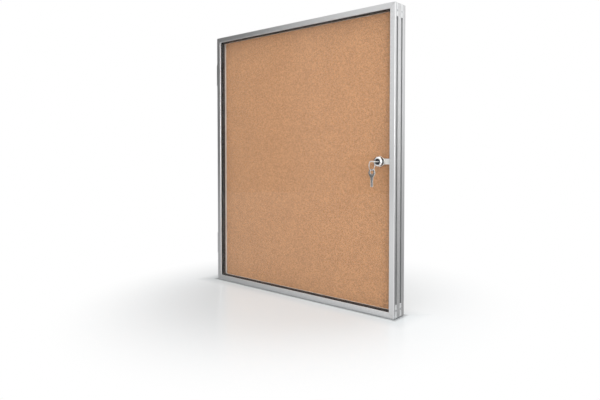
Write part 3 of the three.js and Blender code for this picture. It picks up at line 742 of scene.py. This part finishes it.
def door_corners(s):
    """Corners of the door bar's section: distance in from the outer side, depth and rounding."""
    start, end, floor = s.door_groove, s.door_groove + s.groove_width, s.groove_depth + s.wall
    lip, rear, back = s.lip, s.door_rear, s.door_depth
    cut = s.lip_chamfer
    return [
        (0, 0, s.front_arris), (lip - cut, 0, s.arris), (lip, cut, s.arris), (lip, s.lip_return, s.arris),
        (lip - s.wall, s.lip_return, 0), (lip - s.wall, s.wall, 0), (s.wall, s.wall, 0),
        (s.wall, start - s.wall, 0), (floor, start - s.wall, 0), (floor, end + s.wall, 0),
        (s.wall, end + s.wall, 0), (s.wall, back - s.wall, 0), (rear - s.wall, back - s.wall, 0),
        (rear - s.wall, back - s.door_rear_return, 0), (rear, back - s.door_rear_return, s.arris),
        (rear, back, s.arris), (0, back, s.arris), (0, end, s.arris), (s.groove_depth, end, 0),
        (s.groove_depth, start, 0), (0, start, s.arris),
    ]


def case_corners(s):
    """Corners of the case bar's section."""
    start, end, floor = s.case_groove, s.case_groove + s.groove_width, s.groove_depth + s.wall
    front, rear, back = s.case_front, s.case_rear, s.case_depth
    bevel = back - s.bevel_depth
    return [
        (0, 0, s.arris), (front, 0, s.arris), (front, s.case_front_return, s.arris),
        (front - s.wall, s.case_front_return, 0), (front - s.wall, s.wall, 0), (s.wall, s.wall, 0),
        (s.wall, start - s.wall, 0), (floor, start - s.wall, 0), (floor, end, 0), (s.case_web, end, 0),
        (s.case_web, end + s.wall, s.arris), (s.wall, end + s.wall, 0), (s.wall, bevel, 0),
        (s.wall + s.bevel_inset, back - s.wall, 0), (rear, back - s.wall, s.arris), (rear, back, s.arris),
        (s.bevel_inset, back, s.arris), (0, bevel, s.arris), (0, end, s.arris), (s.groove_depth, end, 0),
        (s.groove_depth, start, 0), (0, start, s.arris),
    ]


def seal_corners(s, outer, front, rear):
    """Corners of the gasket's section, whose flap covers the edge of the door's rear flange.

    Its outer side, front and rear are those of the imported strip."""
    inner = s.door_rear + s.seal_flap
    edge = s.door_rear + s.mitre_gap
    return [
        (outer, front + s.seal_lead, 0), (outer + s.seal_lead, front, s.arris), (inner, front, s.arris),
        (inner, s.door_depth, s.mitre_gap), (edge, s.door_depth, 0), (edge, rear, 0), (outer, rear, 0),
    ]


def bar_mesh(section, span, s, name, chamfered):
    """A bar along X with mitred ends and rounded outer corners. Its outer side lies at Z = 0.

    Each end is a fan of sections, one for each step of the rounded corner. least and along are how far
    that step lies in from the outer side and from the bar's end."""
    bm = bmesh.new()
    turns = [QUARTER / 2 * (ARC_STEPS - k) / ARC_STEPS for k in range(ARC_STEPS + 1)]
    rings = []
    for end, angles in ((-1, turns), (1, turns[::-1])):
        for angle in angles:
            least = s.corner_radius * (1 - math.cos(angle))
            along = s.corner_radius * (1 - math.sin(angle))
            ring = []
            for inward, depth in section:
                if inward < s.wall:
                    inward = least + inward * (s.wall - least) / s.wall
                gap = s.mitre_gap
                if chamfered and depth < s.mitre_chamfer:
                    if angle == turns[0]:
                        depth = s.mitre_chamfer
                    else:
                        gap += s.mitre_chamfer
                reach = span / 2 - max(along, inward + gap)
                ring.append(bm.verts.new((end * reach, depth, -inward)))
            rings.append(ring)
    bridged(bm, rings)
    bm.faces.new(rings[0])
    bm.faces.new(rings[-1][::-1])
    bmesh.ops.remove_doubles(bm, verts=bm.verts, dist=WELD)
    return mesh_of(bm, name)


def frame_sides(s, front):
    """Each side's name and length, with the place and turn there of a bar made along X."""
    middles = ((0, s.height), (s.width / 2, s.height / 2), (0, 0), (-s.width / 2, s.height / 2))
    for turn, (side, (x, z)) in enumerate(zip(SIDES, middles)):
        span = s.height if side in ("left", "right") else s.width
        yield side, span, Matrix.Translation((x, front, z)) @ Matrix.Rotation(turn * QUARTER, 4, "Y")


class NOTICEBOARD_OT_bars(bpy.types.Operator):
    """Makes the four mitred bars of the door and of the case"""

    bl_idname = "noticeboard.bars"
    bl_label = "Frame bars"

    def execute(self, context):
        s = context.scene.notice_board_bars
        f = context.scene.notice_board_fittings
        for body, corners in (("door", door_corners(s)), ("case", case_corners(s))):
            section = rounded(corners)
            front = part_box(body + "_profile_top")[0].y
            for side, span, place in frame_sides(s, front):
                name = f"{body}_bar_{side}"
                mesh = bar_mesh(section, span, s, name, body == "door")
                if body == "case" and side in ("top", "bottom"):
                    mesh = carved(mesh, self.hanging_holes(s, f, side))
                bar = linked(name, mesh)
                bar.matrix_world = place
                finished(bar, body, "anodised_frame", anodised_bar(), f"{body}_profile_{side}")
        return {"FINISHED"}

    @staticmethod
    def hanging_holes(s, f, side):
        """Cutters for the keyholes above, or for the plain screw holes below."""
        start, end = s.case_depth - 2 * s.wall, s.case_depth + s.wall
        cutters = []
        for x in (f.hanger_inset - s.width / 2, s.width / 2 - f.hanger_inset):
            if side == "bottom":
                cutters.append(round_cutter(x, start, end, -f.hole_drop, f.slot))
                continue
            cutters.append(round_cutter(x, start, end, -f.keyhole_drop, f.keyhole))
            cutters.append(round_cutter(x, start, end, -f.slot_drop, f.slot))
            cutters.append(block((x - f.slot, start, -f.keyhole_drop), (x + f.slot, end, -f.slot_drop)))
        return cutters


# Fittings


HOLE_STEPS = 32
OUTWARD = {
    "up": Matrix.Rotation(-QUARTER, 4, "X"),
    "down": Matrix.Rotation(QUARTER, 4, "X"),
    "right": Matrix.Rotation(QUARTER, 4, "Z"),
    "left": Matrix.Rotation(-QUARTER, 4, "Z"),
}


def round_cutter(x, y_from, y_to, z, radius):
    """A round cutter along Y."""
    mesh = turned([(0, y_from), (radius, y_from), (radius, y_to), (0, y_to)], HOLE_STEPS, "cutter")
    mesh.transform(Matrix.Translation((x, 0, z)))
    return mesh


def screw_outline(f, wider, rim):
    """Half outline of a countersunk screw that much wider, as (radius, depth below the head)."""
    head, shaft = f.screw_head + wider, f.screw_shaft + wider
    return [(0, 0), (head - rim, 0), (head, rim), (shaft, f.screw_cone), (shaft, f.screw_length - rim),
            (shaft - rim, f.screw_length), (0, f.screw_length)]


def screw_mesh(f, name):
    """A countersunk screw along Y with a cross recess, its head's top at Y = 0."""
    body = turned(screw_outline(f, 0, f.fit / 2), HOLE_STEPS, name)
    reach, half = f.recess_reach, f.recess_width / 2
    return carved(body, [
        block((-reach, -f.fit, -half), (reach, f.recess_depth, half)),
        block((-half, -f.fit, -reach), (half, f.recess_depth, reach)),
    ])


def connector_mesh(s, f):
    """An L-shaped connector with a countersunk hole in each leg, its corner at the origin."""
    thick = s.groove_depth - f.fit
    outline = rounded([(-f.leg, 0, s.arris), (-f.leg, -thick, 0), (-thick, -thick, 0), (-thick, -f.leg, 0),
                       (0, -f.leg, s.arris), (0, 0, s.corner_radius)])
    shape = plate(outline, s.groove_width - 2 * f.fit, "corner_connector", s.arris)
    hole = turned(screw_outline(f, f.fit, 0), HOLE_STEPS, "cutter")
    above = f.fit / 10
    cutters = []
    for way, at in (("up", (-f.screw_inset, 0, above)), ("right", (above, 0, -f.screw_inset))):
        cutter = hole.copy()
        cutter.transform(Matrix.Translation(at) @ OUTWARD[way])
        cutters.append(cutter)
    return carved(shape, cutters)


class NOTICEBOARD_OT_connectors(bpy.types.Operator):
    """Makes the L-shaped connectors in the outer grooves at the corners"""

    bl_idname = "noticeboard.connectors"
    bl_label = "Corner connectors"

    def execute(self, context):
        s = context.scene.notice_board_bars
        shape = connector_mesh(s, context.scene.notice_board_fittings)
        for body in ("door", "case"):
            for turn, corner in enumerate(CORNERS):
                packed = f"{body}_corner_{corner}"
                x = s.width / 2 * (1 if "right" in corner else -1)
                z = s.height if "top" in corner else 0
                at = Matrix.Translation((x, cad_middle(packed).y, z))
                piece = linked(f"{body}_connector_{corner}", shape)
                piece.matrix_world = at @ Matrix.Rotation(turn * QUARTER, 4, "Y")
                finished(piece, body, "corner_metal", connector_alloy(), packed)
        return {"FINISHED"}


class NOTICEBOARD_OT_screws(bpy.types.Operator):
    """Makes the countersunk screws of the corners and hinges"""

    bl_idname = "noticeboard.screws"
    bl_label = "Screws"

    def execute(self, context):
        shape = screw_mesh(context.scene.notice_board_fittings, "countersunk_screw")
        for body in ("door", "case"):
            for corner in CORNERS:
                for letter in "ab":
                    self.place(shape, body, f"{body}_screw_{corner}_{letter}")
            for height in HEIGHTS:
                self.place(shape, body, f"hinge_{body}_screw_{height}")
        return {"FINISHED"}

    @staticmethod
    def place(shape, body, packed):
        """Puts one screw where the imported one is, along its longest side, its head on the outside."""
        low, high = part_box(packed)
        top = (low + high) / 2
        if high.x - low.x > high.z - low.z:
            way, axis, end = ("right", 0, high) if top.x > 0 else ("left", 0, low)
        else:
            way, axis, end = ("up", 2, high) if top.z > CAD_BOX[1].z / 2 else ("down", 2, low)
        top[axis] = end[axis]
        screw = linked(packed.replace("screw", "fixing"), shape)
        screw.matrix_world = Matrix.Translation(top) @ OUTWARD[way]
        finished(screw, body, "steel", zinc_steel(), packed)


class NOTICEBOARD_OT_panel(bpy.types.Operator):
    """Finishes the cork and the board behind it"""

    bl_idname = "noticeboard.panel"
    bl_label = "Cork and backing"

    def execute(self, context):
        kept("cork_sheet", cork())
        kept("backing_board", fibreboard())
        return {"FINISHED"}


class NOTICEBOARD_OT_glazing(bpy.types.Operator):
    """Finishes the glass and makes the gasket strips"""

    bl_idname = "noticeboard.glazing"
    bl_label = "Glass and gasket"

    def execute(self, context):
        kept("glass_pane", glass())
        s = context.scene.notice_board_bars
        door_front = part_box("door_profile_top")[0].y
        low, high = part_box("gasket_top")
        section = rounded(seal_corners(s, s.height - high.z, low.y - door_front, high.y - door_front))
        for side, span, place in frame_sides(s, door_front):
            name = f"glazing_strip_{side}"
            strip = linked(name, bar_mesh(section, span, s, name, False))
            strip.matrix_world = place
            finished(strip, "door", "black_rubber", gasket_rubber(), f"gasket_{side}")
        return {"FINISHED"}


class NOTICEBOARD_OT_hinges(bpy.types.Operator):
    """Makes the hinge leaves and pins"""

    bl_idname = "noticeboard.hinges"
    bl_label = "Hinges"

    def execute(self, context):
        for height in HEIGHTS:
            for body in ("door", "case"):
                packed = f"hinge_{body}_leaf_{height}"
                leaf = linked(f"{body}_hinge_leaf_{height}", softened(packed))
                finished(leaf, body, "anodised_frame", anodised_leaf(), packed)
            packed = f"hinge_pin_{height}"
            pin = linked(f"pivot_pin_{height}", softened(packed))
            finished(pin, "case", "steel", zinc_steel(), packed)
        return {"FINISHED"}


# Lock


LOCK_STEPS = 72
DOME_STEPS = 14
BORE_RIM = 0.00025
WASHER_STEPS = 64
WASHER_FIT = 0.0003
WASHER_RIM = 0.0002


def housing_outline(k):
    """Closed outline of the domed head and the threaded barrel, as (radius, depth)."""
    outline = [(k.bore, BORE_RIM), (k.bore + BORE_RIM, 0), (k.face - BORE_RIM, 0)]
    dome = k.head_depth - k.rim
    for step in range(1, DOME_STEPS + 1):
        angle = QUARTER * step / DOME_STEPS
        outline.append((k.face + (k.head - k.face) * math.sin(angle), dome * (1 - math.cos(angle))))
    outline += [(k.head, k.head_depth), (k.barrel, k.head_depth)]
    depth = k.head_depth + k.thread_pitch / 2
    while depth < k.depth - k.thread_pitch:
        outline += [(k.barrel, depth), (k.barrel - k.thread_depth, depth + k.thread_pitch / 2)]
        depth += k.thread_pitch
    return outline + [(k.barrel, depth), (k.barrel, k.depth), (k.bore, k.depth)]


def washer_mesh(k, packed, name):
    """A washer round the barrel with rounded rims, its front at Y = 0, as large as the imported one."""
    inner, outer, thick = k.barrel + WASHER_FIT, cad_size(packed, 0) / 2, cad_size(packed, 1)
    outline = rounded([(inner, 0, WASHER_RIM), (outer, 0, WASHER_RIM), (outer, thick, WASHER_RIM),
                       (inner, thick, WASHER_RIM)])
    return turned(outline, WASHER_STEPS, name)


class NOTICEBOARD_OT_lock(bpy.types.Operator):
    """Makes the cam lock: housing, washers, nut, plug, cam and its screw"""

    bl_idname = "noticeboard.lock"
    bl_label = "Cam lock"

    def execute(self, context):
        k = context.scene.notice_board_lock
        x, _, z = cad_middle("lock_housing")
        housing = linked("cam_lock_head", turned(housing_outline(k), LOCK_STEPS, "cam_lock_head"))
        housing.matrix_world = Matrix.Translation((x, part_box("lock_housing")[0].y, z))
        finished(housing, "door", "chrome", chrome(), "lock_housing")
        for packed, name, material in (("lock_front_washer", "cushion_washer", grey_cushion()),
                                       ("lock_rear_washer", "backing_washer", gasket_rubber())):
            washer = linked(name, washer_mesh(k, packed, name))
            washer.matrix_world = Matrix.Translation((x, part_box(packed)[0].y, z))
            finished(washer, "door", "black_rubber", material, packed)
        for packed, name, body, slot, material in (
            ("lock_nut", "fixing_nut", "door", "chrome", satin()),
            ("lock_plug", "cylinder_plug", "lock", "plug_steel", plug_face()),
            ("lock_cam", "cam_plate", "lock", "chrome", satin()),
            ("lock_cam_screw", "cam_fixing", "lock", "steel", zinc_steel()),
        ):
            finished(linked(name, softened(packed)), body, slot, material, packed)
        return {"FINISHED"}


# Keys


# The bow's corners as shares of its half width and its length, the cuts' depths as shares of the deepest,
# and where a cut's flat bottom starts and ends as shares of its pitch.
BOW_SHARES = [(0.66, 0), (1, 0.42), (0.93, 0.62), (0.42, 1)]
CUT_SHARES = [0.55, 1, 0.3, 0.8, 0.45]
CUT_FLAT_FROM = 0.35
CUT_FLAT_TO = 0.65
BOW_ROUND = 0.0022
HOLE_POINTS = 40

# The groove milled in each face, its depth and distance aside as shares of thickness and blade width.
MILLING_HALF_WIDTH = 0.0007
MILLING_START = 0.0012
MILLING_RUN_OUT = 0.001
MILLING_DEPTH = 0.16
MILLING_ASIDE = 0.14

# The split ring's turns of wire, and the stretch of its length in which it crosses from side to side.
RING_STEPS = 160
RING_START = math.radians(200)
CROSSING_START = 0.44
CROSSING_LENGTH = 0.12
WIRE_SHARE = 0.98


def key_edge(k, shares):
    """One side of a key's blade, from the bow to the tip."""
    half = k.blade_width / 2
    pitch = (k.insertion - k.tip) / (len(shares) + 1)
    points = [(half, k.bow_length, 0)]
    for i, share in enumerate(shares):
        start = k.bow_length + k.neck + pitch * (i + 0.5)
        depth = half - k.cut * share
        points += [(half, start, 0), (depth, start + pitch * CUT_FLAT_FROM, 0),
                   (depth, start + pitch * CUT_FLAT_TO, 0)]
    end = k.bow_length + k.neck + k.insertion
    return points + [(half, end - k.tip, 0), (half - k.tip, end, 0)]


def key_mesh(k):
    """A flat key in X and Y with a milled blade, the bow's end at Y = 0 and the blade towards +Y."""
    bow = [(k.bow_width / 2 * w, k.bow_length * along, BOW_ROUND) for w, along in BOW_SHARES]
    right = bow + key_edge(k, CUT_SHARES)
    left = bow + key_edge(k, CUT_SHARES[::-1])
    outline = rounded(right + [(-x, y, r) for x, y, r in left[::-1]])
    turns = [FULL_TURN * i / HOLE_POINTS for i in range(HOLE_POINTS)]
    hole = [(k.hole * math.cos(a), k.bar + k.hole + k.hole * math.sin(a)) for a in turns]
    shape = curve_mesh("flat_key", [[(x, y, 0) for x, y in line] for line in (outline, hole)], True,
                       dimensions="2D", fill_mode="BOTH", extrude=k.thickness / 2 - k.chamfer,
                       bevel_depth=k.chamfer, bevel_resolution=1, offset=-k.chamfer)
    start, end = k.bow_length + MILLING_START, k.bow_length + k.neck + k.insertion + MILLING_RUN_OUT
    sunk = k.thickness * MILLING_DEPTH
    cutters = []
    for way in (-1, 1):
        x, face = way * k.blade_width * MILLING_ASIDE, way * k.thickness / 2
        cutters.append(block((x - MILLING_HALF_WIDTH, start, face - sunk),
                             (x + MILLING_HALF_WIDTH, end, face + sunk)))
    return carved(shape, cutters)


def split_ring(k, name):
    """Two close turns of wire about the X axis, as a split ring is wound."""
    half = k.wire / 2
    line = []
    for i in range(RING_STEPS + 1):
        t = i / RING_STEPS
        angle = 2 * FULL_TURN * t + RING_START
        cross = min(1, max(0, (t - CROSSING_START) / CROSSING_LENGTH))
        side = (cross * cross * (3 - 2 * cross) * 2 - 1) * half
        line.append((side, (k.ring + half) * math.cos(angle), (k.ring + half) * math.sin(angle)))
    return curve_mesh(name, [line], False, dimensions="3D", bevel_depth=half * WIRE_SHARE, bevel_resolution=3,
                      use_fill_caps=True)


class NOTICEBOARD_OT_keys(bpy.types.Operator):
    """Makes the key in the lock, the key ring and the spare key"""

    bl_idname = "noticeboard.keys"
    bl_label = "Keys and ring"

    def execute(self, context):
        k = context.scene.notice_board_keys
        shape = key_mesh(k)
        x, _, z = cad_middle("key_in_lock")
        inserted = linked("working_key", shape)
        inserted.matrix_world = Matrix.Translation((x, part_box("key_in_lock")[0].y, z))
        finished(inserted, "key", "nickel", nickel(), "key_in_lock")
        x, y, _ = cad_middle("spare_key")
        top = Matrix.Translation((x, y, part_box("spare_key")[1].z))
        spare = linked("second_key", shape)
        spare.matrix_world = top @ Matrix.Rotation(-QUARTER, 4, "X")
        finished(spare, "spare", "nickel", nickel(), "spare_key")
        ring = linked("split_ring", split_ring(k, "split_ring"))
        ring.matrix_world = Matrix.Translation(cad_middle("key_ring"))
        finished(ring, "ring", "steel", zinc_steel(), "key_ring")
        return {"FINISHED"}


# Stage


WHITE = (1.0, 1.0, 1.0, 1.0)
UP = (0.0, 0.0, 1.0)
TO_FRONT = (0.0, -1.0, 0.0)
TO_CAMERA = (0.65, -0.76, 0.0)
CARD_LIFT = 0.001
CARD_HEIGHT = 3.0

# Corners of the cards as seen from above, as (x, y).
FRONT_LEFT = (-1.5, -3.6)
FAR_LEFT = (-4.2, -0.6)
REAR_LEFT = (-2.6, 3.0)
REAR_RIGHT = (1.9, 0.3)
REAR_MIDDLE = (0.4, 1.6)
REAR_CENTRE = (0.0, 1.66)
BEFORE_BOARD_RIGHT = (0.4, -0.03)
BEFORE_BOARD_LEFT = (-0.5, -0.03)
BESIDE_BOARD = (0.297, 0.0)
LOCK_CARD_NEAR = (-0.42, -1.38)
LOCK_CARD_FAR = (-0.66, -1.2)


def background_rays(tree):
    """1 for rays that show the background: camera, glossy and transmission rays."""
    path = tree.nodes.new("ShaderNodeLightPath").outputs
    seen = maths(tree, "ADD", path["Is Camera Ray"], path["Is Glossy Ray"])
    return maths(tree, "ADD", seen, path["Is Transmission Ray"], use_clamp=True)


def floor_shader(tree, coordinates):
    """White floor that keeps the board's shadow and a faint mirror image, with a painted contact shadow
    darkening its colour close round the board, and is plain white further out.
    """
    where = coordinates["Object"]
    squeezed = vector_maths(tree, "MULTIPLY", where, (1.12, 1.0, 1.0))["Vector"]
    distance = vector_maths(tree, "LENGTH", squeezed)["Value"]
    aside = vector_maths(tree, "ABSOLUTE", where)["Vector"]
    corner = (CAD_BOX[1].x, CAD_BOX[1].y, 0)
    past = axes(tree, vector_maths(tree, "SUBTRACT", aside, corner)["Vector"])
    beyond = maths(tree, "MAXIMUM", past["X"], past["Y"])
    # Painted contact shadow: the floor's colour darkens within 12 mm of the board's footprint.
    painted_contact_shadow = remap(tree, beyond, (0.0, 0.012), (0.4, 0.92), **SMOOTHSTEP)
    near = remap(tree, beyond, (0.0, 0.055), **SMOOTHSTEP)
    far = remap(tree, distance, (0.2, 0.62), (0.27, 1.0), **SMOOTHSTEP)
    rough = remap(tree, noise(tree, where, scale=300.0, detail=2.0), target=(0.13, 0.19))
    tone = blend(tree, 1.0, painted_contact_shadow, (0.955, 0.985, 1.0), "MULTIPLY")
    base = principled(tree, tone, rough, Specular_IOR_Level=0.7, Specular_Tint=(0.9, 0.97, 1.0, 1.0))
    white = node(tree, "ShaderNodeEmission", {"Color": WHITE, "Strength": 1.0})
    share = maths(tree, "MULTIPLY", background_rays(tree), maths(tree, "MULTIPLY", near, far))
    return node(tree, "ShaderNodeMixShader", {0: share, 1: base.outputs[0], 2: white.outputs[0]})


def upright(start, end, bottom, top):
    """Corners of an upright card between two points of the floor."""
    return [(*start, bottom), (*end, bottom), (*end, top), (*start, top)]


def flat(*points):
    """Corners of a card just above the floor."""
    return [(x, y, CARD_LIFT) for x, y in points]


def card(name, corners, level, direction, start, end):
    """A studio card that only reflections see, from the side where its corners run anticlockwise.

    Along a direction, in metres, it fades from white at start to its own grey level at end."""
    def build(tree, coordinates):
        reach = vector_maths(tree, "DOT_PRODUCT", coordinates["Object"], direction)["Value"]
        rising = start < end
        tones = (1.0, level) if rising else (level, 1.0)
        tone = remap(tree, reach, sorted((start, end)), tones, **SMOOTHSTEP)
        shine = node(tree, "ShaderNodeEmission", {"Color": WHITE, "Strength": tone})
        clear = node(tree, "ShaderNodeBsdfTransparent")
        side = tree.nodes.new("ShaderNodeNewGeometry").outputs["Backfacing"]
        return node(tree, "ShaderNodeMixShader", {0: side, 1: shine.outputs[0], 2: clear.outputs[0]})

    mesh = bpy.data.meshes.new(name)
    mesh.from_pydata(corners, [], [range(len(corners))])
    mesh.materials.append(material_of(name, build))
    obj = linked(name, mesh)
    obj.visible_camera = False
    obj.visible_diffuse = False
    obj.visible_transmission = False
    obj.visible_shadow = False


def lamp(name, centre, aim, side, power):
    """A soft square lamp that looks at a point."""
    data = bpy.data.lights.new(name, "AREA")
    data.shape = "RECTANGLE"
    data.size = side
    data.size_y = side
    data.energy = power
    obj = linked(name, data)
    obj.location = centre
    obj.rotation_euler = (Vector(aim) - Vector(centre)).to_track_quat("-Z", "Y").to_euler()


class NOTICEBOARD_OT_stage(bpy.types.Operator):
    """Makes the floor, the lamps, the world and the camera"""

    bl_idname = "noticeboard.stage"
    bl_label = "Studio stage"

    def execute(self, context):
        settings = context.scene.notice_board_stage
        bm = bmesh.new()
        bmesh.ops.create_grid(bm, x_segments=1, y_segments=1, size=settings.floor_size / 2)
        floor = linked("studio_floor", mesh_of(bm, "studio_floor"))
        floor.data.materials.append(material_of("studio_floor", floor_shader))
        self.cards()
        aim = (0, 0, settings.lamp_aim)
        lamp("key_lamp", (2.4, -2.6, 0.9), aim, side=1.6, power=35)
        lamp("top_lamp", (0.3, -1.2, 3.0), aim, side=2.0, power=20)
        self.world(context.scene)
        self.camera(context.scene, settings)
        context.scene.view_settings.view_transform = "Standard"
        return {"FINISHED"}

    @staticmethod
    def cards():
        """Cards whose mirror images give the bars, the grooves and the lock their dark stretches."""
        card("wall_card", upright(FRONT_LEFT, FAR_LEFT, 0, CARD_HEIGHT),
             level=0.0, direction=TO_CAMERA, start=0.74, end=0.32)
        card("side_card", upright(FAR_LEFT, REAR_LEFT, 0, CARD_HEIGHT),
             level=0.02, direction=TO_FRONT, start=-3.0, end=-2.4)
        card("floor_card", flat(BEFORE_BOARD_RIGHT, BEFORE_BOARD_LEFT, FAR_LEFT, FRONT_LEFT),
             level=0.34, direction=TO_CAMERA, start=0.6, end=-0.4)
        card("rear_card", upright(REAR_MIDDLE, REAR_RIGHT, 0, 0.9),
             level=0.5, direction=UP, start=0.75, end=0.0)
        card("back_card", upright(REAR_CENTRE, REAR_MIDDLE, 0, 2.0),
             level=0.3, direction=UP, start=2.2, end=2.0)
        card("rear_floor_card", flat(BESIDE_BOARD, REAR_RIGHT, REAR_MIDDLE, REAR_CENTRE),
             level=0.42, direction=UP, start=0.1, end=0.05)
        card("lock_card", upright(LOCK_CARD_NEAR, LOCK_CARD_FAR, 0.16, 0.40),
             level=0.12, direction=UP, start=0.372, end=0.338)

    @staticmethod
    def world(scene):
        """Even pale light, with plain white wherever the background is seen."""
        world = bpy.data.worlds.new("studio_air")
        scene.world = world
        world.use_nodes = True
        tree = world.node_tree
        tree.nodes.clear()
        level = remap(tree, background_rays(tree), target=(0.74, 1.0))
        light = node(tree, "ShaderNodeBackground", {"Color": WHITE, "Strength": level})
        output = tree.nodes.new("ShaderNodeOutputWorld")
        tree.links.new(light.outputs[0], output.inputs["Surface"])

    @staticmethod
    def camera(scene, settings):
        """The camera that looks at the board from the front right."""
        data = bpy.data.cameras.new("studio_camera")
        data.sensor_width = 36
        data.lens = settings.lens
        data.shift_y = settings.shift
        data.clip_start = 0.05
        data.clip_end = 50
        camera = linked("studio_camera", data)
        camera.location = (settings.camera_right, -settings.camera_front, settings.camera_height)
        camera.rotation_euler = (QUARTER - settings.camera_pitch, 0, settings.camera_yaw)
        scene.camera = camera


class NOTICEBOARD_PT_panel(bpy.types.Panel):
    """Lists the settings and the steps that make the notice board"""

    bl_idname = "NOTICEBOARD_PT_panel"
    bl_label = "Notice board"
    bl_space_type = "VIEW_3D"
    bl_region_type = "UI"
    bl_category = "Notice board"

    def draw(self, context):
        for operator in STEPS:
            self.layout.operator(operator.bl_idname)
        for _, attribute in GROUPS:
            settings = getattr(context.scene, attribute)
            box = self.layout.box()
            for key in settings.bl_rna.properties.keys():
                if key not in ("rna_type", "name"):
                    box.prop(settings, key)


GROUPS = (
    (BarSizes, "notice_board_bars"),
    (FittingSizes, "notice_board_fittings"),
    (LockSizes, "notice_board_lock"),
    (KeySizes, "notice_board_keys"),
    (Finishes, "notice_board_finishes"),
    (StageSettings, "notice_board_stage"),
)

STEPS = (
    NOTICEBOARD_OT_bars,
    NOTICEBOARD_OT_connectors,
    NOTICEBOARD_OT_screws,
    NOTICEBOARD_OT_panel,
    NOTICEBOARD_OT_glazing,
    NOTICEBOARD_OT_hinges,
    NOTICEBOARD_OT_lock,
    NOTICEBOARD_OT_keys,
    NOTICEBOARD_OT_stage,
)


def register():
    """Makes the settings, the steps and the panel known."""
    for group, attribute in GROUPS:
        bpy.utils.register_class(group)
        setattr(bpy.types.Scene, attribute, PointerProperty(type=group))
    for operator in STEPS:
        bpy.utils.register_class(operator)
    bpy.utils.register_class(NOTICEBOARD_PT_panel)


def unregister():
    """Takes them away again."""
    bpy.utils.unregister_class(NOTICEBOARD_PT_panel)
    for operator in reversed(STEPS):
        bpy.utils.unregister_class(operator)
    for group, attribute in reversed(GROUPS):
        delattr(bpy.types.Scene, attribute)
        bpy.utils.unregister_class(group)


def main():
    """Runs every step in order."""
    register()
    for operator in STEPS:
        _, action = operator.bl_idname.split(".")
        getattr(bpy.ops.noticeboard, action)()


if __name__ == "__main__":
    main()
